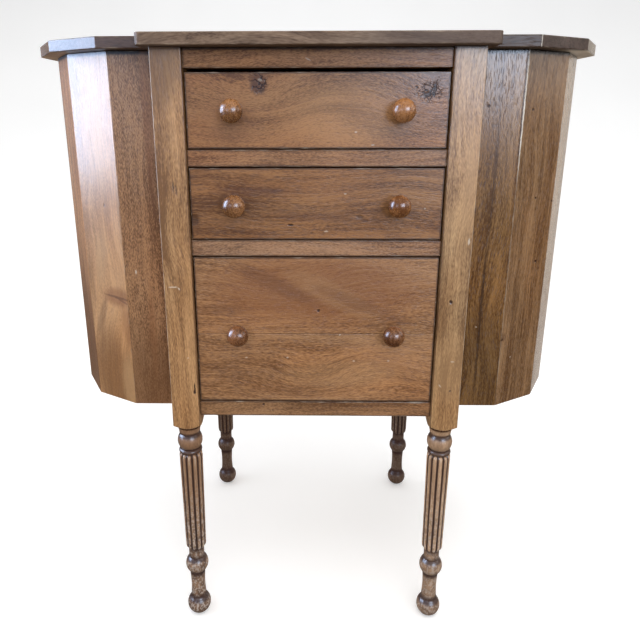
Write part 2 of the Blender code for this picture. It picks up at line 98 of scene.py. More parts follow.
class Finish:
    """A material's node tree, with a short call for each kind of node that the finishes use."""

    def __init__(self, name):
        self.material = bpy.data.materials.new(name)
        self.material.use_nodes = True
        self.tree = self.material.node_tree
        self.surface = self.tree.nodes["Principled BSDF"]

    def feed(self, socket, value):
        """Links an output to a socket, or sets a plain value on it."""
        if isinstance(value, bpy.types.NodeSocket):
            self.tree.links.new(value, socket)
        else:
            socket.default_value = value

    def node(self, kind, inputs, **settings):
        made = self.tree.nodes.new(kind)
        for setting, value in settings.items():
            setattr(made, setting, value)
        for socket, value in inputs.items():
            self.feed(made.inputs[socket], value)
        return made

    def math(self, operation, *values, clamp=False):
        made = self.node("ShaderNodeMath", dict(enumerate(values)), operation=operation, use_clamp=clamp)
        return made.outputs[0]

    def vector(self, operation, first, second):
        return self.node("ShaderNodeVectorMath", {0: first, 1: second}, operation=operation).outputs[0]

    def attribute(self, name, output):
        return self.node("ShaderNodeAttribute", {}, attribute_name=name).outputs[output]

    def noise(self, place, scale, detail=2.0, output="Fac"):
        """Noise with its own scale along each axis, in cells per metre."""
        scaled = self.vector("MULTIPLY", place, scale)
        made = self.node("ShaderNodeTexNoise", {"Vector": scaled, "Scale": 1.0, "Detail": detail})
        return made.outputs[output]

    def spread(self, value, low, high):
        """0 below the low value, 1 above the high one, and smooth between them."""
        made = self.node(
            "ShaderNodeMapRange",
            {"Value": value, "From Min": low, "From Max": high},
            interpolation_type="SMOOTHSTEP",
        )
        return made.outputs[0]

    def mix(self, share, first, second, blend="MIX"):
        made = self.node(
            "ShaderNodeMix",
            {0: share, 6: opaque(first), 7: opaque(second)},
            data_type="RGBA",
            blend_type=blend,
        )
        return made.outputs[2]

    def ramp(self, value, stops):
        made = self.node("ShaderNodeValToRGB", {"Fac": value})
        elements = made.color_ramp.elements
        while len(elements) < len(stops):
            elements.new(0.5)
        for element, (position, colour) in zip(elements, stops):
            element.position = position
            element.color = opaque(colour)
        return made.outputs["Color"]

    def bump(self, height, strength, distance):
        made = self.node("ShaderNodeBump", {"Height": height, "Strength": strength, "Distance": distance})
        self.feed(self.surface.inputs["Normal"], made.outputs["Normal"])

    def set(self, **values):
        """Sets the shader's own sockets; an underscore stands for a space in a socket's name."""
        for socket, value in values.items():
            self.feed(self.surface.inputs[socket.replace("_", " ")], value)


def opaque(colour):
    """A colour with its fourth number, or an output as it is."""
    if isinstance(colour, bpy.types.NodeSocket) or len(colour) == 4:
        return colour
    return (*colour, 1.0)


# Wood

Mark = namedtuple("Mark", "place size colour strength lean turn knot", defaults=(0.0, 0.0, False))
Swirl = namedtuple("Swirl", "place size lift")

WORN_PALE = (0.62, 0.50, 0.38)
WORN_WHITE = (0.85, 0.80, 0.72)
# Dark for the legs' grime and for painted shade in creases, round knob bases and on the posts' inner
# corners.
GRIME_AND_SHADE_DARK = (0.047, 0.022, 0.019)
# Dark for grime and painted gap shade along the edges of fronts and rails, for the painted shadow under the
# top and for the painted shade under the lids' fronts.
EDGE_DARK = (0.045, 0.022, 0.014)
# Dark for the painted shadow under the lids' overhang.
LID_SHADOW_DARK = (0.018, 0.009, 0.006)
KNOT_DARK = (0.032, 0.011, 0.006)
KNOT_BROWN = (0.12, 0.055, 0.027)
SCRATCH_PALE = (0.66, 0.56, 0.46)
PORE_DARK = (0.075, 0.032, 0.013)
MOTTLE_DARK = (0.10, 0.055, 0.038)
SPECK_PALE = (0.66, 0.56, 0.49)
WARM_TINT = (1.0, 0.90, 0.76)
COOL_TINT = (0.97, 1.0, 1.0)
LEG_TOP = 0.2845
LEG_BLEND = 0.003

# Heights below which the legs get pale specks, and below which the feet get darker: partly dark varnish,
# partly painted shade near the floor
SPECK_TOP, SPECK_FULL = 0.24, 0.09
FOOT_DARK_TOP, FOOT_DARK_FULL = 0.050, 0.025
FOOT_DARK_SHARE = 0.7

# Depths between which a lid's underside turns dark towards its front: painted shade under the overhang above
# the pocket's front wall
LID_SHADE_BACK, LID_SHADE_FRONT = -0.100, -0.125
LID_SHADE_SHARE = 0.85

SEAM_STEP = 3.7
RAGGED_EDGE = (0.002, 0.002, 0.002)
PORE_DEPTH = 0.8
KNOT_DEPTH = 4.0
RELIEF = 0.35
RELIEF_DEPTH = 0.0004
COAT_ROUGHNESS = 0.2

# How much rougher a fully matt place is, and how matt the legs and the rubbed edges are
MATT_ROUGHNESS = 0.28
LEG_MATT = 0.35
RUBBED_MATT = 0.6
GRIME_AND_SHADE_MATT = -0.4
LID_END_POLISH = 1.5


def shades(colour, contrast):
    """Stops for a wood's tone: a darker and redder shade, the wood's own colour and a paler shade."""
    dark = tuple(part * (1 - contrast * share) for part, share in zip(colour, (0.62, 0.70, 0.76)))
    light = tuple(part * (1 + contrast * share) for part, share in zip(colour, (0.55, 0.66, 0.78)))
    return (0.18, dark), (0.5, colour), (0.82, light)


def wood(
    name,
    colour,
    contrast=0.8,
    cloud=1.2,
    band=0.9,
    line=0.9,
    fleck=1.3,
    dash=0.5,
    dash_length=0.012,
    fleck_length=0.0033,
    open_pores=0.15,
    worn=0.5,
    rubbing=0.0,
    edge=0.0,
    roughness=0.34,
    specular=0.5,
    coat=0.25,
    grime_and_shade=0.0,
    marks=(),
    swirls=(),
    seam=None,
    leg=None,
    specks=0.0,
    outer=None,
    underside=None,
):
    """Varnished wood along the pieces' own "grain" attribute, rubbed pale where "worn" is high."""
    finish = Finish(name)
    world = finish.node("ShaderNodeTexCoord", {}).outputs["Object"]
    _, depth, height = finish.node("ShaderNodeSeparateXYZ", {0: world}).outputs
    grain = finish.attribute("grain", "Vector")
    if seam is not None:
        upper = finish.math("GREATER_THAN", height, seam)
        step = finish.node("ShaderNodeCombineXYZ", {1: finish.math("MULTIPLY", upper, SEAM_STEP)}).outputs[0]
        grain = finish.vector("ADD", grain, step)
    for swirl in swirls:
        rise = finish.spread(closeness(finish, world, swirl.place, swirl.size), 0.0, 1.0)
        lift = finish.math("MULTIPLY", rise, swirl.lift)
        grain = finish.vector("ADD", grain, finish.node("ShaderNodeCombineXYZ", {1: lift}).outputs[0])
    sway = finish.noise(grain, (6.0, 11.0, 11.0), 1.0, "Color")
    bend = finish.vector("MULTIPLY", finish.vector("SUBTRACT", sway, (0.5, 0.5, 0.5)), (0.0, 0.04, 0.04))
    bent = finish.vector("ADD", grain, bend)

    cloud_noise = finish.noise(bent, (7.0, 22.0, 22.0), 3.0)
    band_noise = finish.noise(bent, (3.0, 75.0, 40.0), 3.0)
    line_noise = finish.noise(bent, (12.0, 360.0, 220.0), 3.0)
    fleck_noise = finish.noise(bent, (1 / fleck_length, 1200.0, 800.0), 1.0)
    tone = 0.5
    for source, weight in (
        (cloud_noise, cloud),
        (band_noise, band),
        (line_noise, line),
        (fleck_noise, fleck),
    ):
        swing = finish.math("MULTIPLY", finish.math("SUBTRACT", source, 0.5), weight)
        tone = finish.math("ADD", tone, swing)
    painted = finish.ramp(tone, shades(colour, contrast))
    if leg is not None:
        on_leg = finish.spread(height, LEG_TOP, LEG_TOP - LEG_BLEND)
        painted = finish.mix(on_leg, painted, finish.ramp(tone, shades(leg, 0.5 * contrast)))
        dash = finish.math("MULTIPLY_ADD", on_leg, -0.8 * dash, dash)

    drift = finish.noise(grain, (5.0, 16.0, 16.0), 2.0)
    tint = finish.ramp(drift, ((0.32, WARM_TINT), (0.68, COOL_TINT)))
    painted = finish.mix(1.0, painted, tint, "MULTIPLY")

    pores = finish.noise(bent, (1 / dash_length, 1000.0, 700.0), 2.0)
    pores = finish.spread(pores, 0.56, 0.66)
    painted = finish.mix(finish.math("MULTIPLY", pores, dash), painted, PORE_DARK)

    ragged_noise = finish.noise(world, (330.0, 330.0, 330.0), 3.0, "Color")
    ragged = finish.vector("SUBTRACT", ragged_noise, (0.5, 0.5, 0.5))
    near = finish.vector("ADD", world, finish.vector("MULTIPLY", ragged, RAGGED_EDGE))
    knots = 0.0
    for mark in marks:
        mask = mark_mask(finish, near, mark)
        painted = finish.mix(mask, painted, mark.colour)
        if mark.colour == KNOT_DARK:
            knots = finish.math("MAXIMUM", knots, mask)
    matt = finish.math("MAXIMUM", finish.math("MULTIPLY", pores, open_pores), knots)

    rub = finish.noise(grain, (60.0, 220.0, 220.0), 3.0)
    edges = finish.attribute("worn", "Fac")
    # Dark along the rounded edges of fronts and rails: grime, and painted shade that widens the gaps between
    # the parts.
    if edge:
        grime_and_gap_shade = finish.spread(finish.math("MULTIPLY_ADD", rub, 0.5, edges), 0.55, 1.2)
        painted = finish.mix(finish.math("MULTIPLY", grime_and_gap_shade, edge), painted, EDGE_DARK)
    rubbed = finish.math("MULTIPLY_ADD", rub, 1.6, rubbing - 0.8)
    rubbed = finish.spread(finish.math("ADD", edges, rubbed), 0.95, 1.45)
    painted = finish.mix(finish.math("MULTIPLY", rubbed, worn), painted, WORN_PALE)
    matt = finish.math("MULTIPLY_ADD", rubbed, RUBBED_MATT, matt)
    if specks:
        blots = finish.spread(finish.noise(world, (430.0, 430.0, 300.0), 2.0), 0.50, 0.57)
        low_down = finish.spread(height, SPECK_TOP, SPECK_FULL)
        blots = finish.math("MULTIPLY", blots, finish.math("MULTIPLY", low_down, specks))
        mottles = finish.spread(finish.noise(world, (190.0, 190.0, 150.0), 1.0), 0.42, 0.70)
        mottles = finish.math("MULTIPLY", mottles, finish.math("MULTIPLY", low_down, specks))
        painted = finish.mix(mottles, painted, MOTTLE_DARK)
        # Darker feet: partly dark varnish, partly painted shade near the floor.
        foot_dark = finish.spread(height, FOOT_DARK_TOP, FOOT_DARK_FULL)
        foot_dark = finish.math("MULTIPLY", foot_dark, FOOT_DARK_SHARE * specks)
        painted = finish.mix(foot_dark, painted, MOTTLE_DARK)
        painted = finish.mix(blots, painted, SPECK_PALE)
    # Darkening by the meshes' attribute of grime and painted shade: grime on the legs, and painted shade in
    # their creases, round the knobs' bases and on the posts' inner corners.
    if grime_and_shade:
        grime_and_shade_mask = finish.math("ADD", finish.attribute("grime_and_shade", "Fac"), finish.math("MULTIPLY", rub, 0.25))
        grime_and_shade_mask = finish.spread(grime_and_shade_mask, 0.3, 1.0)
        painted = finish.mix(finish.math("MULTIPLY", grime_and_shade_mask, grime_and_shade), painted, GRIME_AND_SHADE_DARK)
        matt = finish.math("MULTIPLY_ADD", grime_and_shade_mask, GRIME_AND_SHADE_MATT, matt)

    rise = finish.math("MULTIPLY_ADD", fleck_noise, 0.6, line_noise)
    rise = finish.math("SUBTRACT", rise, finish.math("MULTIPLY", pores, PORE_DEPTH))
    rise = finish.math("MULTIPLY_ADD", knots, -KNOT_DEPTH, rise)
    if leg is not None:
        rise = finish.math("MULTIPLY", rise, finish.math("MULTIPLY_ADD", on_leg, -0.8, 1.0))
        matt = finish.math("MULTIPLY_ADD", on_leg, LEG_MATT, matt)
    finish.bump(rise, RELIEF, RELIEF_DEPTH)
    polished = knots
    if outer is not None:
        facing = finish.node("ShaderNodeTexCoord", {}).outputs["Normal"]
        sideways, _, upwards = finish.node("ShaderNodeSeparateXYZ", {0: facing}).outputs
        bare = finish.spread(finish.math("ABSOLUTE", sideways), 0.72, 0.82)
        painted = finish.mix(bare, painted, outer)
        beneath = finish.ramp(tone, shades(underside, 0.6 * contrast))
        # Painted shade on the underside's front strip, under the overhang above the pocket's front wall.
        front_underside_shade = finish.math("MULTIPLY", finish.spread(depth, LID_SHADE_BACK, LID_SHADE_FRONT), LID_SHADE_SHARE)
        beneath = finish.mix(front_underside_shade, beneath, EDGE_DARK)
        painted = finish.mix(finish.spread(upwards, -0.6, -0.8), painted, beneath)
        matt = finish.math("MAXIMUM", matt, bare)
        polished = finish.math("MAXIMUM", knots, finish.math("MULTIPLY", bare, LID_END_POLISH))
    gloss = finish.math("MULTIPLY_ADD", cloud_noise, 0.16, roughness - 0.08)
    gloss = finish.math("MULTIPLY_ADD", matt, MATT_ROUGHNESS, gloss)
    gloss = finish.math("MULTIPLY_ADD", polished, -MATT_ROUGHNESS, gloss)
    finish.set(Base_Color=painted, Roughness=gloss)
    finish.set(Specular_IOR_Level=specular, Coat_Roughness=COAT_ROUGHNESS)
    if coat:
        finish.set(Coat_Weight=finish.math("MULTIPLY_ADD", matt, -coat, coat))
    return finish.material


def closeness(finish, place, middle, size, lean=0.0, turn=0.0):
    """1 in the middle of an ellipsoid, falling to 0 at its skin."""
    mapped = finish.node(
        "ShaderNodeMapping",
        {"Vector": place, "Location": middle, "Rotation": (0.0, lean, turn), "Scale": size},
        vector_type="TEXTURE",
    )
    ball = finish.node("ShaderNodeTexGradient", {"Vector": mapped.outputs[0]}, gradient_type="SPHERICAL")
    return ball.outputs["Fac"]


def mark_mask(finish, place, mark):
    """How much of a mark shows: its strength in the middle, none past its size. A knot is scribbled."""
    mask = finish.spread(closeness(finish, place, mark.place, mark.size, mark.lean, mark.turn), 0.0, 0.6)
    if mark.knot:
        strokes = finish.noise(place, (190.0, 190.0, 190.0), 1.0)
        strokes = finish.math("ABSOLUTE", finish.math("SUBTRACT", strokes, 0.5))
        mask = finish.math("MULTIPLY", mask, finish.spread(strokes, 0.09, 0.025))
    return finish.math("MULTIPLY", mask, mark.strength)


def brass(name):
    """Dull brass, browner in patches."""
    finish = Finish(name)
    place = finish.node("ShaderNodeTexCoord", {}).outputs["Object"]
    patches = finish.noise(place, (220.0, 220.0, 220.0), 4.0)
    scuffs = finish.noise(place, (1500.0, 300.0, 1500.0), 2.0)
    finish.set(
        Base_Color=finish.ramp(patches, ((0.3, (0.12, 0.07, 0.02)), (0.6, (0.42, 0.29, 0.10)))),
        Metallic=1.0,
        Roughness=finish.math("ADD", finish.math("MULTIPLY", patches, 0.3), 0.22),
    )
    finish.bump(scuffs, 0.15, 0.0002)
    return finish.material


# Boards


def on_box(node):
    """A test for edges that lie along the edges of a node's own box."""
    low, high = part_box(node)

    def test(edge):
        sides = 0
        for axis in range(3):
            for level in (low[axis], high[axis]):
                sides += all(abs(vert.co[axis] - level) < NEAR for vert in edge.verts)
        return sides >= 2

    return test


def on_outline(node):
    """A test for the outline of a top or lid, but not along its hinges or in their recesses."""
    low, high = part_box(node)
    hinge_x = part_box("hinge_fixed_right_front")[1].x

    def by_hinge(place):
        margin = RECESS_MARGIN if abs(place.y) < RECESS_REACH else HINGE_MARGIN
        return abs(abs(place.x) - hinge_x) < margin

    def test(edge):
        level = all(abs(vert.co.z - low.z) < NEAR for vert in edge.verts)
        level = level or all(abs(vert.co.z - high.z) < NEAR for vert in edge.verts)
        along_hinge = all(by_hinge(vert.co) for vert in edge.verts)
        upright = abs(edge.verts[0].co.z - edge.verts[1].co.z) > 0.8 * (high.z - low.z)
        upright = upright and edge.calc_face_angle() > CORNER_ANGLE
        return (level or upright) and not along_hinge

    return test


def every_edge(node):
    """A test that takes each sharp edge."""
    return lambda edge: True


def sheets_beside(solid, soft, shortest):
    """The faces along the rounded edges, in groups with no sharp edge between their faces."""
    beside = {
        face
        for rounded in soft
        for edge in rounded.edges
        for face in edge.link_faces
        if edge.calc_length() > shortest and face not in soft
    }
    sheets = []
    for start in solid.faces:
        if start not in beside:
            continue
        beside.remove(start)
        sheet = [start]
        for face in sheet:
            for edge in face.edges:
                for other in edge.link_faces:
                    if other in beside and edge.calc_face_angle() < CORNER_ANGLE:
                        beside.remove(other)
                        sheet.append(other)
        sheets.append(sheet)
    return sheets


def eased(node, width, rim, chosen):
    """A node's solid with the chosen edges rounded; "worn" is 1 on them and falls to 0 over the rim."""
    solid = bmesh.new()
    solid.from_mesh(frame["nodes"][node].data)
    bmesh.ops.remove_doubles(solid, verts=solid.verts, dist=WELD)
    bmesh.ops.dissolve_limit(solid, angle_limit=FLAT_ANGLE, verts=solid.verts, edges=solid.edges)
    test = chosen(node)
    sharp = [
        edge
        for edge in solid.edges
        if edge.is_manifold and edge.calc_face_angle() > SHARP_ANGLE and test(edge)
    ]
    rounded = bmesh.ops.bevel(
        solid,
        geom=sharp,
        offset=width,
        segments=EASE_STEPS,
        profile=0.5,
        affect="EDGES",
        clamp_overlap=False,
    )
    bmesh.ops.remove_doubles(solid, verts=solid.verts, dist=WELD)
    soft = {face for face in rounded["faces"] if face.is_valid}
    for sheet in sheets_beside(solid, soft, SHORT_EDGE * width):
        bmesh.ops.inset_region(solid, faces=sheet, thickness=rim, use_even_offset=True, use_boundary=True)
    for face in solid.faces:
        face.smooth = face in soft
    edge_points = {vert for face in soft for vert in face.verts}
    solid.verts.index_update()
    worn = np.zeros(len(solid.verts), np.float32)
    worn[[vert.index for vert in edge_points]] = 1.0
    mesh = bpy.data.meshes.new(node)
    solid.to_mesh(mesh)
    solid.free()
    mesh.attributes.new("worn", "FLOAT", "POINT").data.foreach_set("value", worn)
    return mesh


def lay_grain(mesh, along, across, middle, node):
    """The place of each point in its own board: along, across and through the grain, in metres."""
    points = np.empty(len(mesh.vertices) * 3, np.float32)
    mesh.vertices.foreach_get("co", points)
    points = points.reshape(-1, 3) - np.array(middle, np.float32)
    basis = np.array([along, across, along.cross(across)], np.float32)
    draw = random.Random(node)
    start = np.array([draw.uniform(0, 9) for _ in range(3)], np.float32)
    values = (points @ basis.T + start).astype(np.float32)
    mesh.attributes.new("grain", "FLOAT_VECTOR", "POINT").data.foreach_set("vector", values.ravel())


def stand_in(node, mesh, material):
    """Shows a finished mesh in a node's place, on the node's body and with its material slot."""
    piece = bpy.data.objects.new(f"finished_{node}", mesh)
    bpy.context.scene.collection.objects.link(piece)
    mesh.materials.append(material)
    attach(piece, frame["nodes"][node]["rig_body"])
    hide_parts(node)
    return piece


def dress_board(node, along, across, material, width=0.0006, rim=0.0025, chosen=on_box):
    mesh = eased(node, width, rim, chosen)
    low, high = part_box(node)
    lay_grain(mesh, along, across, (low + high) / 2, node)
    return stand_in(node, mesh, material)


# Turned legs

REEDS = 12
POINTS_PER_REED = 10
CORNER_TURNS = (-2.4, -1.4, -0.7, 0.7, 1.4, 2.4)
REED_DEPTH = 0.0024
REED_TIP_LENGTH = 0.008
REED_TONGUE = 0.35
BLOCK_CORNER = 0.0009
BALL_STEPS = 14
LEG_SHARP_ANGLE = math.radians(42)
LEG_GRIME_AND_SHADE = 0.42

FOOT_RADIUS = 0.0155
FOOT_FLAT_RADIUS = 0.0067
ANKLE_RADIUS = 0.0102
ANKLE_DIP = 0.001
ANKLE_LENGTH = 0.042
LOWER_BALL_RADIUS = 0.0149
NECK_RADIUS = 0.010
NECK_LENGTH = 0.0155
REED_RADIUS_LOW = 0.0133
REED_RADIUS_HIGH = 0.0148
BEAD_HEIGHT = 0.0065
BEAD_RADIUS = 0.0145
UPPER_BALL_RADIUS = 0.0155
CREASE_RADIUS = 0.0115
COLLAR_RADIUS_LOW = 0.0127
COLLAR_RADIUS_HIGH = 0.0147
COLLAR_HEIGHT = 0.0110
SHOULDER_HEIGHT = 0.0055
BLOCK_BOTTOM = 0.2915


def leg_turns():
    """Angles round a leg: even steps from a corner of the block, and more of them close to each corner."""
    count = REEDS * POINTS_PER_REED
    turns = [45 + 360 * index / count for index in range(count)]
    for corner in (45, 135, 225, 315):
        turns += [corner + offset for offset in CORNER_TURNS]
    return np.radians(np.unique(np.mod(turns, 360)))


TURNS = leg_turns()
# 0 along the crest of a reed and 1 in the groove beside it
REED_SIDE = np.abs(2 * np.mod((TURNS - math.pi / 4) * REEDS / (2 * math.pi), 1) - 1)
CORNER_SIDE = np.abs(np.mod(TURNS, math.pi / 2) - math.pi / 4)


def smooth_share(value, low, high):
    share = np.clip((value - low) / (high - low), 0, 1)
    return share * share * (3 - 2 * share)


def half_height(radius, end_radius):
    return math.sqrt(radius**2 - end_radius**2)


class Turning:
    """The rings of a leg from the floor up, with their wear and their darkening: grime, and painted shade in
    the creases.
    """

    def __init__(self):
        self.rings = []

    def add(self, height, radius, grime_and_shade=0.0, worn=0.0):
        values = [np.broadcast_to(np.asarray(value, float), TURNS.shape) for value in (radius, grime_and_shade, worn)]
        self.rings.append((height, *values))

    def ball(self, centre, radius, low_radius, high_radius):
        """A ball whose upper side has kept its old dark varnish, with painted shade at its lower end and
        worn skin round its widest part.
        """
        low = -math.acos(low_radius / radius)
        high = math.acos(high_radius / radius)
        for angle in np.linspace(low, high, BALL_STEPS):
            upper = smooth_share(angle, 0.4 * high, 0.95 * high)
            # Painted shade at the ball's lower end.
            lower = smooth_share(-angle, -0.75 * low, -low)
            grime_and_shade = LEG_GRIME_AND_SHADE + 0.7 * upper + lower
            worn = 0.35 * (1 - smooth_share(abs(angle), 0.1, 0.6))
            self.add(centre + radius * math.sin(angle), radius * math.cos(angle), grime_and_shade, worn)

    def bead(self, low, height, radius):
        # A dark bead, darkest at its ends as painted crease shade.
        for angle in np.linspace(-math.pi / 2, math.pi / 2, 9):
            level = low + height * (1 + math.sin(angle)) / 2
            self.add(level, radius - height * (1 - math.cos(angle)) / 2, 0.7 + 0.3 * abs(math.sin(angle)))

    def reeds(self, low, high):
        """Round reeds between two levels, each with a rounded tongue at either end."""
        groove = 1 - np.sqrt(np.clip(1 - 0.94 * REED_SIDE**2, 0, 1))
        groove = groove / groove.max()
        tip_share = REED_TIP_LENGTH / (high - low)
        tip = tip_share * (1 - np.cos(np.linspace(0, math.pi / 2, 12)))
        shares = np.concatenate((tip, np.linspace(tip_share, 1 - tip_share, 9)[1:-1], 1 - tip[::-1]))
        for share in shares:
            body = REED_RADIUS_LOW + (REED_RADIUS_HIGH - REED_RADIUS_LOW) * share
            from_end = min(share, 1 - share) / tip_share
            start = NECK_RADIUS if share < 0.5 else CREASE_RADIUS
            rise = np.clip(from_end * (1 + REED_TONGUE) - REED_TONGUE * REED_SIDE**2, 0, 1)
            rise = np.sqrt(1 - (1 - rise) ** 2)
            radius = start + (body - REED_DEPTH * groove - start) * rise
            # Grooves darkened with grime and painted shade, and each reed's ends with painted crease shade.
            groove_grime_and_shade = 0.95 * smooth_share(REED_SIDE, 0.3, 0.85)
            end_crease_shade = 0.9 * (1 - smooth_share(rise, 0.0, 0.5))
            grime_and_shade = np.maximum(groove_grime_and_shade, end_crease_shade)
            end_wear = 1 - 0.35 * smooth_share(from_end, 0.5, 2.0)
            worn = (1 - smooth_share(REED_SIDE, 0.05, 0.5)) * smooth_share(rise, 0.3, 0.8) * end_wear
            self.add(low + (high - low) * share, radius, grime_and_shade, worn)

    def block(self, height, half, limit, outward):
        """A ring of the square block, turned away past the limit, with rubbed outer corners and with inner
        corners darkened as painted shade beside the gaps.
        """
        side = np.maximum(np.abs(np.cos(TURNS)), np.abs(np.sin(TURNS)))
        flat = half / side
        toward_corner = np.cos(CORNER_SIDE)
        reach = (half - BLOCK_CORNER) * math.sqrt(2)
        under = np.clip((reach * toward_corner) ** 2 - reach**2 + BLOCK_CORNER**2, 0, None)
        curve = np.where(under > 0, reach * toward_corner + np.sqrt(under), np.inf)
        radius = np.minimum(np.minimum(flat, curve), limit)
        corner = 1 - smooth_share(CORNER_SIDE, math.radians(0.7), math.radians(2.6))
        outer = np.cos(TURNS) * outward > 0
        # Inner corners darkened as painted shade beside the gaps.
        self.add(height, radius, np.where(outer, 0, 0.6 * corner), np.where(outer, corner, 0))

    def mesh(self, name, centre):
        """The rings joined into a closed mesh round an upright axis."""
        count = len(TURNS)
        points = []
        for height, radius, _, _ in self.rings:
            xs = centre.x + radius * np.cos(TURNS)
            ys = centre.y + radius * np.sin(TURNS)
            points += list(zip(xs, ys, [height] * count))
        faces = []
        for ring in range(len(self.rings) - 1):
            low, high = ring * count, (ring + 1) * count
            for index in range(count):
                after = (index + 1) % count
                faces.append((low + index, low + after, high + after, high + index))
        faces.append(tuple(reversed(range(count))))
        faces.append(tuple(range(len(points) - count, len(points))))
        mesh = bpy.data.meshes.new(name)
        mesh.from_pydata(points, [], faces)
        for attribute, column in (("grime_and_shade", 2), ("worn", 3)):
            values = np.concatenate([ring[column] for ring in self.rings]).astype(np.float32)
            mesh.attributes.new(attribute, "FLOAT", "POINT").data.foreach_set("value", values)
        mesh.shade_smooth()
        mesh.set_sharp_from_angle(angle=LEG_SHARP_ANGLE)
        return mesh


def dress_post(node, material):
    """A corner post with its turned and reeded leg."""
    low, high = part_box(node)
    half = (high.x - low.x) / 2
    corner = half * math.sqrt(2)
    foot_centre = half_height(FOOT_RADIUS, FOOT_FLAT_RADIUS)
    ankle_low = foot_centre + half_height(FOOT_RADIUS, ANKLE_RADIUS)
    ankle_high = ankle_low + ANKLE_LENGTH
    ball_centre = ankle_high + half_height(LOWER_BALL_RADIUS, ANKLE_RADIUS)
    neck_low = ball_centre + half_height(LOWER_BALL_RADIUS, NECK_RADIUS)
    shoulder_low = BLOCK_BOTTOM - SHOULDER_HEIGHT
    collar_low = shoulder_low - COLLAR_HEIGHT
    upper_half = half_height(UPPER_BALL_RADIUS, CREASE_RADIUS)
    upper_centre = collar_low - upper_half
    bead_low = upper_centre - upper_half - BEAD_HEIGHT

    leg = Turning()
    leg.ball(foot_centre, FOOT_RADIUS, FOOT_FLAT_RADIUS, ANKLE_RADIUS)
    # The ankle darkens towards its ends with painted crease shade.
    for share in np.linspace(0.06, 0.94, 9):
        dip = ANKLE_DIP * math.sin(math.pi * share)
        end = abs(2 * share - 1)
        height = ankle_low + ANKLE_LENGTH * share
        grime_and_shade = LEG_GRIME_AND_SHADE + 0.5 * smooth_share(end, 0.6, 1.0)
        leg.add(height, ANKLE_RADIUS - dip, grime_and_shade, 0.6 * (1 - end))
    leg.ball(ball_centre, LOWER_BALL_RADIUS, ANKLE_RADIUS, NECK_RADIUS)
    # The neck darkens towards its ends with painted crease shade.
    for share in (0.1, 0.3, 0.5, 0.7, 0.9):
        leg.add(neck_low + NECK_LENGTH * share, NECK_RADIUS, 0.4 + 0.4 * abs(2 * share - 1), 0.5)
    leg.reeds(neck_low + NECK_LENGTH, bead_low)
    leg.bead(bead_low, BEAD_HEIGHT, BEAD_RADIUS)
    leg.ball(upper_centre, UPPER_BALL_RADIUS, CREASE_RADIUS, CREASE_RADIUS)
    # The collar darkens towards its ends: painted shadow under the block's shoulder at the top, painted
    # crease shade at the bottom.
    for share in np.linspace(0.0, 1.0, 7):
        radius = COLLAR_RADIUS_LOW + (COLLAR_RADIUS_HIGH - COLLAR_RADIUS_LOW) * share**1.4
        grime_and_shade = 0.3 + 0.6 * smooth_share(abs(2 * share - 1), 0.3, 0.9)
        leg.add(collar_low + COLLAR_HEIGHT * share, radius, grime_and_shade, 0.2)
    for share in np.linspace(0.1, 1.0, 10):
        limit = COLLAR_RADIUS_HIGH + (corner - COLLAR_RADIUS_HIGH) * share
        leg.block(shoulder_low + SHOULDER_HEIGHT * share, half, limit, low.x)
    for share in np.linspace(0.02, 1.0, 9):
        leg.block(BLOCK_BOTTOM + (high.z - BLOCK_BOTTOM) * share, half, corner, low.x)
    mesh = leg.mesh(node, (low + high) / 2)
    lay_grain(mesh, Z_AXIS, X_AXIS, (low + high) / 2, node)
    return stand_in(node, mesh, material)


# Turned knobs

KNOB_SIDES = 48
KNOB_STEPS = 14
KNOB_RADIUS = 0.0125
KNOB_DOME = 0.011
KNOB_BASE_RADIUS = 0.007
KNOB_WAIST_RADIUS = 0.0062
KNOB_WAIST_LENGTH = 0.0035
KNOB_TENON_RADIUS = 0.004
KNOB_SEAT = 0.0003
KNOB_BASE_TOP = 0.0012
KNOB_SHARP_ANGLE = math.radians(50)


def knob_profile(tenon, projection):
    """Radius, level and darkening along a knob, from the end of its tenon to its tip; the darkening is
    painted shade round its base, fading out up its waist.
    """
    widest = projection - KNOB_DOME
    profile = [(KNOB_TENON_RADIUS, -tenon, 0), (KNOB_TENON_RADIUS, KNOB_SEAT, 0)]
    # Painted shade round the knob's base, fading out up its waist.
    profile += [(KNOB_BASE_RADIUS, KNOB_SEAT, 1), (KNOB_BASE_RADIUS, KNOB_BASE_TOP, 1)]
    for share in np.linspace(0, 1, KNOB_STEPS):
        swell = math.sin(share * math.pi / 2)
        radius = KNOB_WAIST_RADIUS + (KNOB_RADIUS - KNOB_WAIST_RADIUS) * swell
        profile.append((radius, KNOB_WAIST_LENGTH + (widest - KNOB_WAIST_LENGTH) * share, 1 - share))
    for turn in np.linspace(0, math.pi / 2, KNOB_STEPS)[1:-1]:
        profile.append((KNOB_RADIUS * math.cos(turn), widest + KNOB_DOME * math.sin(turn), 0))
    return profile


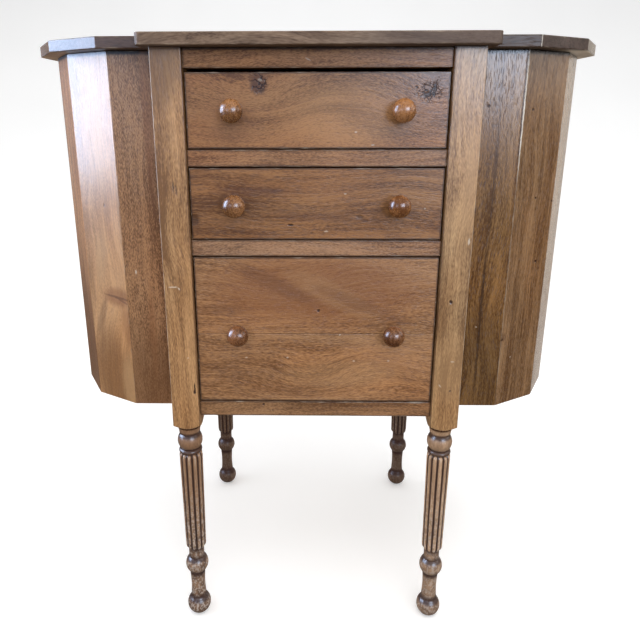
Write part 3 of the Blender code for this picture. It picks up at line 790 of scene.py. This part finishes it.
def dress_knob(node, front, material):
    """A pear knob that stands out of a drawer's front along -Y."""
    low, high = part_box(node)
    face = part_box(front)[0].y
    profile = knob_profile(high.y - face, face - low.y)
    turns = np.linspace(0, 2 * math.pi, KNOB_SIDES, endpoint=False)
    middle = (low + high) / 2
    points = []
    for radius, level, _ in profile:
        points += [
            (middle.x + radius * math.cos(turn), face - level, middle.z + radius * math.sin(turn))
            for turn in turns
        ]
    tip = len(points)
    points.append((middle.x, low.y, middle.z))
    faces = [tuple(reversed(range(KNOB_SIDES)))]
    for ring in range(len(profile) - 1):
        for index in range(KNOB_SIDES):
            after = (index + 1) % KNOB_SIDES
            near, far = ring * KNOB_SIDES, (ring + 1) * KNOB_SIDES
            faces.append((near + index, near + after, far + after, far + index))
    last = tip - KNOB_SIDES
    faces += [(last + index, last + (index + 1) % KNOB_SIDES, tip) for index in range(KNOB_SIDES)]
    mesh = bpy.data.meshes.new(node)
    mesh.from_pydata(points, [], faces)
    grime_and_shade = np.repeat([row[2] for row in profile], KNOB_SIDES).tolist() + [0]
    mesh.attributes.new("grime_and_shade", "FLOAT", "POINT").data.foreach_set("value", grime_and_shade)
    mesh.attributes.new("worn", "FLOAT", "POINT")
    mesh.shade_smooth()
    mesh.set_sharp_from_angle(angle=KNOB_SHARP_ANGLE)
    lay_grain(mesh, Y_AXIS, X_AXIS, middle, node)
    return stand_in(node, mesh, material)


# Finishes of the cabinet

FRONT_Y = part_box("drawer_top_front")[0].y
POST_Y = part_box("post_front_left")[0].y
RAIL_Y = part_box("rail_top")[0].y
STAVE_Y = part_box("pocket_stave_left_1")[0].y
SEAM_Z = 0.4105
RED_DARK = (0.11, 0.040, 0.018)
RED_BROWN = (0.25, 0.093, 0.030)
STREAK_DARK = (0.055, 0.027, 0.013)
# Colour of the painted shade towards the bottom of the pocket staves.
STAVE_SHADE = (0.17, 0.075, 0.028)
STAVE_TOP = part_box("pocket_stave_left_1")[1].z
CASE_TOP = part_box("rail_top")[1].z
# Painted shade over the lower part of the side staves, where less light falls.
SIDE_SHADE = Mark((0.0, 0.0, 0.28), (0.9, 0.9, 0.30), STAVE_SHADE, 0.85)
# Painted shadow along the staves' top, under the lids' overhang.
UNDER_LID_SHADOW = Mark((0.0, 0.0, STAVE_TOP), (0.9, 0.9, 0.0060), LID_SHADOW_DARK, 1.0)
# Painted shadow along the top of the rails and posts, under the centre top's overhang.
UNDER_TOP_SHADOW = Mark((0.0, 0.0, CASE_TOP), (0.9, 0.9, 0.0036), EDGE_DARK, 0.85)
GOLDEN = (0.52, 0.32, 0.16)
FRONT_GOLD = (0.51, 0.28, 0.115)


def pin(x, y, z, size=0.0018):
    """A small dark knot or hole."""
    return Mark((x, y, z), (size, 0.01, size), KNOT_DARK, 0.9)


def nick(x, y, z, half_length=0.002, lean=0.0, strength=0.6):
    """A short pale scratch."""
    return Mark((x, y, z), (half_length, 0.01, 0.0011), SCRATCH_PALE, strength, lean)


def patch(x, y, z, half_width, half_height, colour, strength, lean=0.0):
    """A soft area of another colour."""
    return Mark((x, y, z), (half_width, 0.03, half_height), colour, strength, lean)


fronts = {
    "top": wood(
        "front_top_wood",
        (0.275, 0.119, 0.038),
        cloud=1.5,
        band=0.8,
        line=0.8,
        fleck=1.5,
        dash=0.25,
        dash_length=0.008,
        edge=0.8,
        swirls=(
            Swirl((-0.0612, FRONT_Y, 0.6880), (0.085, 0.03, 0.055), 0.014),
            Swirl((0.0150, FRONT_Y, 0.6620), (0.110, 0.03, 0.055), -0.014),
            Swirl((0.1180, FRONT_Y, 0.6790), (0.070, 0.03, 0.045), 0.011),
        ),
        marks=(
            patch(0.03, FRONT_Y, 0.655, 0.085, 0.045, FRONT_GOLD, 0.30),
            patch(-0.10, FRONT_Y, 0.650, 0.05, 0.030, RED_BROWN, 0.30),
            Mark((-0.0612, FRONT_Y, 0.6890), (0.0125, 0.02, 0.0145), RED_DARK, 0.85),
            Mark((-0.0640, FRONT_Y, 0.6860), (0.0075, 0.02, 0.0080), RED_DARK, 0.7),
            Mark((-0.0612, FRONT_Y, 0.6895), (0.0125, 0.02, 0.0140), KNOT_DARK, 1.0, knot=True),
            Mark((-0.0596, FRONT_Y, 0.6922), (0.0034, 0.01, 0.0018), SCRATCH_PALE, 0.35, 0.4),
            Mark((0.1190, FRONT_Y, 0.6810), (0.0130, 0.02, 0.0105), RED_DARK, 0.5),
            Mark((0.1180, FRONT_Y, 0.6800), (0.0170, 0.02, 0.0130), KNOT_DARK, 1.0, knot=True),
            Mark((0.1150, FRONT_Y, 0.6775), (0.0060, 0.02, 0.0035), KNOT_DARK, 0.8, lean=-0.3),
            Mark((0.1224, FRONT_Y, 0.6850), (0.0018, 0.01, 0.0085), KNOT_DARK, 0.9, lean=0.35),
            pin(0.1041, FRONT_Y, 0.6850),
            nick(0.0417, FRONT_Y, 0.6396),
            nick(0.0603, FRONT_Y, 0.6261),
        ),
    ),
    "middle": wood(
        "front_middle_wood",
        (0.247, 0.108, 0.036),
        band=1.2,
        line=0.9,
        fleck=1.3,
        fleck_length=0.005,
        dash=0.38,
        dash_length=0.016,
        edge=0.8,
        marks=(
            patch(-0.07, FRONT_Y, 0.577, 0.06, 0.007, RED_DARK, 0.4),
            patch(0.00, FRONT_Y, 0.548, 0.07, 0.008, RED_DARK, 0.35, 0.05),
            patch(-0.1361, FRONT_Y, 0.5450, 0.008, 0.008, KNOT_DARK, 0.6),
            Mark((-0.0286, FRONT_Y, 0.5395), (0.0045, 0.01, 0.0020), KNOT_DARK, 0.85),
            patch(0.0485, FRONT_Y, 0.5485, 0.006, 0.0025, KNOT_DARK, 0.5),
            nick(0.0111, FRONT_Y, 0.5322, 0.0032),
            nick(0.0319, FRONT_Y, 0.5739),
            nick(0.1197, FRONT_Y, 0.5580, 0.0013),
        ),
    ),
    "bottom": wood(
        "front_bottom_wood",
        (0.34, 0.172, 0.078),
        cloud=0.8,
        band=0.45,
        line=0.9,
        fleck=1.3,
        fleck_length=0.005,
        dash=0.32,
        dash_length=0.010,
        edge=0.8,
        swirls=(
            Swirl((-0.0100, FRONT_Y, 0.3520), (0.100, 0.03, 0.045), 0.011),
            Swirl((0.0800, FRONT_Y, 0.3640), (0.090, 0.03, 0.045), -0.010),
            Swirl((-0.0500, FRONT_Y, 0.4650), (0.110, 0.03, 0.060), 0.012),
        ),
        seam=SEAM_Z,
        marks=(
            patch(0.0, FRONT_Y, 0.465, 0.17, 0.056, RED_BROWN, 0.66),
            patch(-0.045, FRONT_Y, 0.470, 0.075, 0.013, RED_DARK, 0.35, 0.45),
            patch(0.020, FRONT_Y, 0.458, 0.085, 0.018, GOLDEN, 0.16, 0.5),
            patch(0.055, FRONT_Y, 0.445, 0.080, 0.010, RED_DARK, 0.3, 0.4),
            patch(-0.110, FRONT_Y, 0.440, 0.050, 0.010, RED_DARK, 0.3),
            patch(0.030, FRONT_Y, 0.360, 0.090, 0.022, GOLDEN, 0.22),
            patch(0.0, FRONT_Y, SEAM_Z, 0.20, 0.0012, KNOT_DARK, 0.35),
            pin(0.0034, FRONT_Y, 0.4393, 0.0022),
            nick(-0.0817, FRONT_Y, 0.3802),
            nick(-0.0329, FRONT_Y, 0.3804),
            nick(0.0286, FRONT_Y, 0.4092, 0.0015),
            nick(0.0458, FRONT_Y, 0.3763),
            nick(0.0868, FRONT_Y, 0.3765),
        ),
    ),
}

RAIL_GRAIN = dict(fleck=1.4, dash=0.3, dash_length=0.016, edge=0.6)
rails = {
    "rail_top": wood(
        "rail_top_wood",
        (0.265, 0.122, 0.045),
        specular=0.3,
        coat=0.1,
        marks=[UNDER_TOP_SHADOW, nick(-0.0096, RAIL_Y, 0.7127, 0.004, 0.5, 0.35)],
        **RAIL_GRAIN,
    ),
    "rail_upper": wood("rail_upper_wood", (0.29, 0.138, 0.058), **RAIL_GRAIN),
    "rail_lower": wood("rail_lower_wood", (0.30, 0.158, 0.084), **RAIL_GRAIN),
    "rail_bottom": wood(
        "rail_bottom_wood",
        (0.27, 0.136, 0.062),
        marks=(
            pin(-0.0625, RAIL_Y, 0.3192, 0.002),
            pin(-0.0511, RAIL_Y, 0.3112, 0.0012),
            patch(0.122, RAIL_Y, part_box("rail_bottom")[1].z, 0.012, 0.002, WORN_PALE, 0.8),
        ),
        **RAIL_GRAIN,
    ),
}

POST_GRAIN = dict(fleck=0.95, fleck_length=0.005, line=0.8, dash=0.25, dash_length=0.013, grime_and_shade=0.9)
LEG_BROWN = (0.36, 0.215, 0.13)
# The back legs' colour is darkened as painted shade, where they stand in shadow.
BACK_LEG_SHADED_BROWN = (0.128, 0.079, 0.054)
RIGHT_LEG_BROWN = (0.53, 0.355, 0.24)
# Colour for the left post's darker places: painted shade at its top under the overhang, and a faint leaning
# streak below it.
POST_SHADE = (0.20, 0.096, 0.034)
post_left_wood = wood(
    "post_left_wood",
    (0.42, 0.236, 0.111),
    leg=LEG_BROWN,
    rubbing=0.35,
    specks=0.7,
    marks=(
        UNDER_TOP_SHADOW,
        nick(-0.1634, POST_Y, 0.4684, 0.0065, 0.0, 0.85),
        nick(-0.1565, POST_Y, 0.4665, 0.0025, 1.0, 0.8),
        Mark((-0.1563, POST_Y, 0.5821), (0.0011, 0.01, 0.0095), KNOT_DARK, 0.75),
        Mark((-0.1532, POST_Y, 0.5788), (0.0010, 0.01, 0.0075), KNOT_DARK, 0.75),
        nick(-0.1505, POST_Y, 0.3813, 0.0014),
        # Painted shade at the post's top, under the overhang above it.
        patch(-0.1660, POST_Y, 0.705, 0.03, 0.06, POST_SHADE, 0.7),
        patch(-0.1600, POST_Y, 0.640, 0.02, 0.012, POST_SHADE, 0.25, -0.7),
        Mark((-0.1442, POST_Y, 0.3420), (0.0013, 0.01, 0.0090), KNOT_DARK, 0.95),
        Mark((-0.1450, POST_Y, 0.3370), (0.0020, 0.01, 0.0030), KNOT_DARK, 0.95),
    ),
    **POST_GRAIN,
)
post_right_wood = wood(
    "post_right_wood",
    (0.41, 0.240, 0.115),
    leg=RIGHT_LEG_BROWN,
    rubbing=0.35,
    specks=0.55,
    marks=(
        UNDER_TOP_SHADOW,
        pin(0.1545, POST_Y, 0.4517, 0.0028),
        patch(0.1600, POST_Y, 0.370, 0.03, 0.06, GOLDEN, 0.35),
        patch(0.1650, POST_Y, 0.575, 0.010, 0.09, GOLDEN, 0.35),
        nick(0.1614, POST_Y, 0.3778, 0.003),
        nick(0.1488, POST_Y, 0.3468, 0.003, 0.8),
        pin(0.1611, POST_Y, 0.3404, 0.0014),
        Mark((0.1695, POST_Y, 0.5221), (0.0016, 0.01, 0.005), SCRATCH_PALE, 0.8),
    ),
    **POST_GRAIN,
)
# The back posts: a darker, less glossy copy of the posts' wood, as painted shade where they stand in shadow.
post_back_wood = wood(
    "post_back_wood",
    (0.30, 0.165, 0.08),
    leg=BACK_LEG_SHADED_BROWN,
    specks=0.1,
    specular=0.15,
    coat=0.0,
    **POST_GRAIN,
)

TOP_GRAIN = dict(cloud=0.8, fleck=0.8, fleck_length=0.008, dash=0.2, dash_length=0.02, worn=0.3)
TOP_SHADE = (0.085, 0.055, 0.045)
top_wood = wood(
    "top_wood",
    (0.182, 0.120, 0.082),
    roughness=0.6,
    specular=0.3,
    coat=0.0,
    marks=[patch(0.155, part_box("centre_top")[0].y, 0.73, 0.13, 0.04, TOP_SHADE, 0.6)],
    **TOP_GRAIN,
)
lid_left_wood = wood(
    "lid_left_wood",
    (0.074, 0.041, 0.029),
    roughness=0.34,
    specular=0.45,
    coat=0.2,
    outer=(0.34, 0.205, 0.125),
    underside=(0.38, 0.245, 0.150),
    **TOP_GRAIN,
)
lid_right_wood = wood(
    "lid_right_wood",
    (0.078, 0.048, 0.037),
    roughness=0.42,
    specular=0.3,
    coat=0.0,
    outer=(0.21, 0.150, 0.105),
    underside=(0.43, 0.335, 0.240),
    marks=[Mark((0.2332, -0.1495, 0.731), (0.0008, 0.004, 0.016), WORN_WHITE, 0.6)],
    **TOP_GRAIN,
)

WORN_JOINT = Mark((0.2279, STAVE_Y, 0.665), (0.0011, 0.006, 0.10), WORN_WHITE, 1.0)
JOINT_GAP = Mark((0.2262, STAVE_Y, 0.665), (0.0011, 0.006, 0.10), KNOT_DARK, 0.8)
FAINT_JOINT = Mark((0.2279, STAVE_Y, 0.46), (0.0009, 0.006, 0.18), WORN_PALE, 0.28)
RIGHT_GRAIN = dict(
    cloud=0.8,
    line=1.2,
    fleck=1.4,
    fleck_length=0.005,
    dash=0.45,
    dash_length=0.009,
    open_pores=0.9,
    roughness=0.23,
)
staves = {
    "left_1": wood(
        "stave_left_front_wood",
        (0.30, 0.152, 0.071),
        cloud=0.9,
        fleck=2.0,
        dash=0.32,
        dash_length=0.006,
        marks=(
            UNDER_LID_SHADOW,
            patch(-0.1880, STAVE_Y, 0.66, 0.008, 0.12, RED_BROWN, 0.45),
            patch(-0.1990, STAVE_Y, 0.40, 0.006, 0.08, RED_BROWN, 0.4),
            # Painted shade towards the stave's bottom.
            patch(-0.2050, STAVE_Y, 0.33, 0.05, 0.10, STAVE_SHADE, 0.55),
            Mark((-0.2146, STAVE_Y, 0.4771), (0.0014, 0.01, 0.004), SCRATCH_PALE, 0.8),
        ),
    ),
    "left_2": wood(
        "stave_left_slant_wood",
        (0.495, 0.277, 0.133),
        contrast=0.5,
        cloud=1.5,
        fleck=1.0,
        dash=0.12,
        dash_length=0.03,
        coat=0.35,
        swirls=[Swirl((-0.2420, -0.1230, 0.4420), (0.040, 0.04, 0.080), 0.018)],
        marks=(
            UNDER_LID_SHADOW,
            # Painted shade towards the stave's bottom.
            patch(-0.2600, -0.1120, 0.3300, 0.05, 0.10, STAVE_SHADE, 0.45),
            patch(-0.2334, -0.1278, 0.3278, 0.016, 0.055, GOLDEN, 0.5),
            patch(-0.2620, -0.1110, 0.4900, 0.012, 0.050, GOLDEN, 0.4, 0.15),
            patch(-0.2680, -0.1080, 0.4150, 0.006, 0.040, KNOT_BROWN, 0.35, 0.35),
            patch(-0.2420, -0.1230, 0.4430, 0.032, 0.016, RED_BROWN, 0.6),
            patch(-0.2420, -0.1230, 0.4425, 0.030, 0.0022, RED_DARK, 0.6, 0.08),
            patch(-0.2360, -0.1265, 0.4390, 0.014, 0.0018, RED_DARK, 0.5, 0.35),
            patch(-0.2300, -0.1300, 0.4080, 0.012, 0.034, RED_BROWN, 0.45),
            Mark((-0.2500, -0.1182, 0.5555), (0.0012, 0.02, 0.003), KNOT_DARK, 0.6),
        ),
    ),
    "left_3": wood(
        "stave_left_side_wood",
        (0.47, 0.245, 0.112),
        cloud=0.9,
        dash=0.12,
        dash_length=0.03,
        roughness=0.5,
        specular=0.1,
        coat=0.0,
        marks=(UNDER_LID_SHADOW, SIDE_SHADE),
    ),
    "right_1": wood(
        "stave_right_front_wood",
        (0.222, 0.114, 0.041),
        marks=(
            UNDER_LID_SHADOW,
            JOINT_GAP,
            WORN_JOINT,
            FAINT_JOINT,
            patch(0.2022, STAVE_Y, 0.585, 0.0016, 0.12, STREAK_DARK, 0.5),
            patch(0.2000, STAVE_Y, 0.42, 0.0024, 0.14, STREAK_DARK, 0.75),
            # Painted shade towards the stave's bottom, in the streaks' dark colour.
            patch(0.2050, STAVE_Y, 0.34, 0.05, 0.12, STREAK_DARK, 0.3),
            pin(0.1891, STAVE_Y, 0.6663, 0.0022),
            nick(0.1959, STAVE_Y, 0.4089, 0.0013),
        ),
        **RIGHT_GRAIN,
    ),
    "right_2": wood(
        "stave_right_slant_wood",
        (0.252, 0.142, 0.072),
        marks=(
            UNDER_LID_SHADOW,
            WORN_JOINT,
            FAINT_JOINT,
            pin(0.2401, -0.1240, 0.6625),
            pin(0.2572, -0.1141, 0.5633),
            pin(0.2828, -0.0993, 0.5578),
            pin(0.2679, -0.1079, 0.4861, 0.0022),
            pin(0.2292, -0.1303, 0.3919, 0.0024),
            patch(0.2300, -0.1300, 0.3950, 0.006, 0.008, KNOT_BROWN, 0.5),
            nick(0.2443, -0.1216, 0.3659, 0.0014, 0.8),
        ),
        **dict(RIGHT_GRAIN, fleck=1.1, dash=0.3),
    ),
    "right_3": wood(
        "stave_right_side_wood",
        (0.33, 0.20, 0.110),
        marks=(UNDER_LID_SHADOW, SIDE_SHADE),
        **RIGHT_GRAIN,
    ),
}
pocket_wood = wood("pocket_wood", (0.26, 0.138, 0.066), dash=0.3, dash_length=0.02)
KNOB_GRAIN = dict(
    cloud=1.8,
    band=1.2,
    line=1.2,
    fleck=1.6,
    dash=0.3,
    dash_length=0.003,
    grime_and_shade=0.5,
    roughness=0.25,
    coat=0.4,
)
knob_wood = wood("knob_wood", (0.30, 0.138, 0.057), **KNOB_GRAIN)
dark_knob_wood = wood("dark_knob_wood", (0.20, 0.082, 0.034), **KNOB_GRAIN)
inner_wood = wood(
    "inner_wood", (0.42, 0.29, 0.17), contrast=0.5, dash=0.15, roughness=0.6, worn=0.2, coat=0.0
)
hinge_brass = brass("hinge_brass")


# Pieces

STAVES = 7
STAVE_TURN = math.radians(30)
TOP_EASE = dict(width=0.0012, rim=0.0025, chosen=on_outline)
STAVE_EASE = dict(width=0.0004, rim=0.0022, chosen=every_edge)
POCKET_FLOOR_EASE = dict(width=0.0003, rim=0.0015, chosen=every_edge)
DRAWER_EASE = dict(width=0.0005, rim=0.0018)
DRAWER_FLOOR_EASE = dict(width=0.0003, rim=0.0012)

for node, finish in (("centre_top", top_wood), ("lid_left", lid_left_wood), ("lid_right", lid_right_wood)):
    dress_board(node, X_AXIS, Y_AXIS, finish, **TOP_EASE)
for side, finish in (("left", post_left_wood), ("right", post_right_wood)):
    dress_post(f"post_front_{side}", finish)
    dress_post(f"post_back_{side}", post_back_wood)
for node, finish in rails.items():
    dress_board(node, X_AXIS, Z_AXIS, finish)
for side in ("left", "right"):
    dress_board(f"side_panel_{side}", Z_AXIS, Y_AXIS, pocket_wood)
    dress_board(f"pocket_floor_{side}", Y_AXIS, X_AXIS, inner_wood, **POCKET_FLOOR_EASE)
    for number in range(1, STAVES + 1):
        turn = STAVE_TURN * (number - 1)
        across = Vector((math.cos(turn), math.sin(turn), 0))
        if side == "left":
            across.x = -across.x
        finish = staves.get(f"{side}_{number}", pocket_wood)
        dress_board(f"pocket_stave_{side}_{number}", Z_AXIS, across, finish, **STAVE_EASE)
dress_board("back_panel", Z_AXIS, X_AXIS, pocket_wood)
for level in ("top", "middle", "bottom"):
    front = f"drawer_{level}_front"
    dress_board(front, X_AXIS, Z_AXIS, fronts[level])
    dress_board(f"drawer_{level}_back", X_AXIS, Z_AXIS, inner_wood, **DRAWER_EASE)
    dress_board(f"drawer_{level}_floor", X_AXIS, Y_AXIS, inner_wood, **DRAWER_FLOOR_EASE)
    for side in ("left", "right"):
        dress_board(f"drawer_{level}_side_{side}", Y_AXIS, Z_AXIS, inner_wood, **DRAWER_EASE)
        dress_knob(f"drawer_{level}_knob_{side}", front, dark_knob_wood if level == "bottom" else knob_wood)
for name, node in frame["nodes"].items():
    if name.startswith("hinge_"):
        node.data.materials.clear()
        node.data.materials.append(hinge_brass)


# Studio

COOL = (0.61, 0.79, 1.12)
GREY = (0.64, 0.77, 0.97)
WARM = (1.0, 0.93, 0.84)
GLOSS_WORLD = 0.15
FLOOR_STOPS = ((0.3, (0.88, 0.88, 0.88)), (0.7, (0.91, 0.91, 0.91)))
FLOOR_GLOW = 0.22
SWEEP_STEPS = 16


def softbox(name, place, aim, size, radiance, colour=(1, 1, 1), kind="both"):
    """A soft rectangular light that faces a point and lights the matt side, the gloss or both."""
    data = bpy.data.lights.new(name, "AREA")
    data.shape = "RECTANGLE"
    data.size, data.size_y = size
    data.energy = radiance * math.pi * size[0] * size[1]
    data.color = colour
    light = bpy.data.objects.new(name, data)
    light.location = place
    light.rotation_euler = (Vector(aim) - Vector(place)).to_track_quat("-Z", "Y").to_euler()
    light.visible_diffuse = kind != "glossy"
    light.visible_glossy = kind != "diffuse"
    light.visible_camera = False
    bpy.context.scene.collection.objects.link(light)


def add_floor():
    """A pale floor that sweeps up behind the object; it throws no light back on the varnish."""
    half_width, front, back, sweep, wall = 7.0, -7.0, 1.6, 1.4, 5.0
    profile = [(front, 0.0)]
    for step in range(SWEEP_STEPS + 1):
        turn = math.pi / 2 * step / SWEEP_STEPS
        profile.append((back + sweep * math.sin(turn), sweep * (1 - math.cos(turn))))
    profile.append((back + sweep, wall))
    points = [(side * half_width, y, z) for y, z in profile for side in (-1, 1)]
    faces = [(2 * i, 2 * i + 1, 2 * i + 3, 2 * i + 2) for i in range(len(profile) - 1)]
    mesh = bpy.data.meshes.new("floor")
    mesh.from_pydata(points, [], faces)
    mesh.shade_smooth()
    finish = Finish("floor")
    place = finish.node("ShaderNodeTexCoord", {}).outputs["Object"]
    cloud = finish.noise(place, (4.0, 4.0, 4.0), 3.0)
    finish.set(Base_Color=finish.ramp(cloud, FLOOR_STOPS), Roughness=0.8)
    finish.set(Emission_Color=(1.0, 1.0, 1.0, 1.0), Emission_Strength=FLOOR_GLOW)
    mesh.materials.append(finish.material)
    floor = bpy.data.objects.new("floor", mesh)
    floor.visible_diffuse = False
    floor.visible_glossy = False
    floor.visible_shadow = False
    bpy.context.scene.collection.objects.link(floor)


def add_world():
    """White light from above, and less of it from below, as in a room with a darker floor."""
    world = bpy.data.worlds.new("studio")
    world.use_nodes = True
    tree = world.node_tree
    place = tree.nodes.new("ShaderNodeTexCoord")
    split = tree.nodes.new("ShaderNodeSeparateXYZ")
    ramp = tree.nodes.new("ShaderNodeValToRGB")
    lift = tree.nodes.new("ShaderNodeMath")
    lift.operation = "MULTIPLY_ADD"
    lift.inputs[1].default_value = 0.5
    lift.inputs[2].default_value = 0.5
    tree.links.new(place.outputs["Generated"], split.inputs[0])
    tree.links.new(split.outputs[2], lift.inputs[0])
    tree.links.new(lift.outputs[0], ramp.inputs["Fac"])
    for element, position, value in zip(ramp.color_ramp.elements, (0.40, 0.62), (0.22, 0.85)):
        element.position = position
        element.color = (value, value, value, 1.0)
    tree.links.new(ramp.outputs["Color"], tree.nodes["Background"].inputs["Color"])
    path = tree.nodes.new("ShaderNodeLightPath")
    dimmed = tree.nodes.new("ShaderNodeMath")
    dimmed.operation = "MULTIPLY_ADD"
    dimmed.inputs[1].default_value = GLOSS_WORLD - 1
    dimmed.inputs[2].default_value = 1.0
    tree.links.new(path.outputs["Is Glossy Ray"], dimmed.inputs[0])
    tree.links.new(dimmed.outputs[0], tree.nodes["Background"].inputs["Strength"])
    bpy.context.scene.world = world


def add_camera():
    data = bpy.data.cameras.new("camera")
    data.sensor_fit = "HORIZONTAL"
    data.sensor_width = SENSOR_MM
    data.lens = LENS_MM
    data.shift_x, data.shift_y = CAMERA_SHIFT
    camera = bpy.data.objects.new("camera", data)
    turn = Matrix.Rotation(CAMERA_TURN, 4, "Z") @ Matrix.Rotation(math.pi / 2 - CAMERA_DIP, 4, "X")
    turn = turn @ Matrix.Rotation(CAMERA_ROLL, 4, "Z")
    camera.matrix_world = Matrix.Translation(CAMERA_PLACE) @ turn
    bpy.context.scene.collection.objects.link(camera)
    bpy.context.scene.camera = camera


add_floor()
add_world()
add_camera()
softbox("window_fill", (-1.9, -0.3, 1.5), (0, 0, 0.4), (1.6, 1.4), 1.0, kind="diffuse")
softbox("front_fill", (0.2, -2.8, 1.3), (0, 0, 0.45), (2.6, 1.6), 2.2, kind="diffuse")
softbox("overhead", (0.3, -0.6, 2.4), (0, 0, 0.4), (1.6, 1.6), 2.4, kind="diffuse")
softbox("floor_bounce", (0.5, -0.7, -0.7), (0.2, 0, 0.7), (1.4, 1.2), 0.15, kind="diffuse")
softbox("left_bounce", (-1.1, 0.9, -0.5), (-0.32, 0, 0.72), (0.8, 0.8), 8.5, kind="diffuse")
softbox("right_bounce", (1.1, 0.9, -0.5), (0.32, 0, 0.72), (0.8, 0.8), 8.5, kind="diffuse")
softbox("window_glare", (-1.75, -0.08, 1.185), (0, -0.08, 1.185), (1.4, 1.45), 15.0, COOL, "glossy")
softbox("left_glare", (-1.40, -2.75, 1.10), (0, -0.15, 0.68), (1.0, 1.0), 3.0, COOL, "glossy")
softbox("right_glare", (1.36, -2.84, 1.32), (0.15, -0.15, 0.68), (1.65, 1.17), 13.5, GREY, "glossy")
softbox("side_glare", (1.9, -0.35, 1.25), (0.25, -0.1, 0.7), (1.2, 1.1), 1.6, kind="glossy")
softbox("far_glare", (1.95, 1.95, 0.1), (0.31, -0.06, 0.5), (1.0, 2.2), 0.83, WARM, "glossy")
bpy.context.scene.view_settings.view_transform = "Standard"
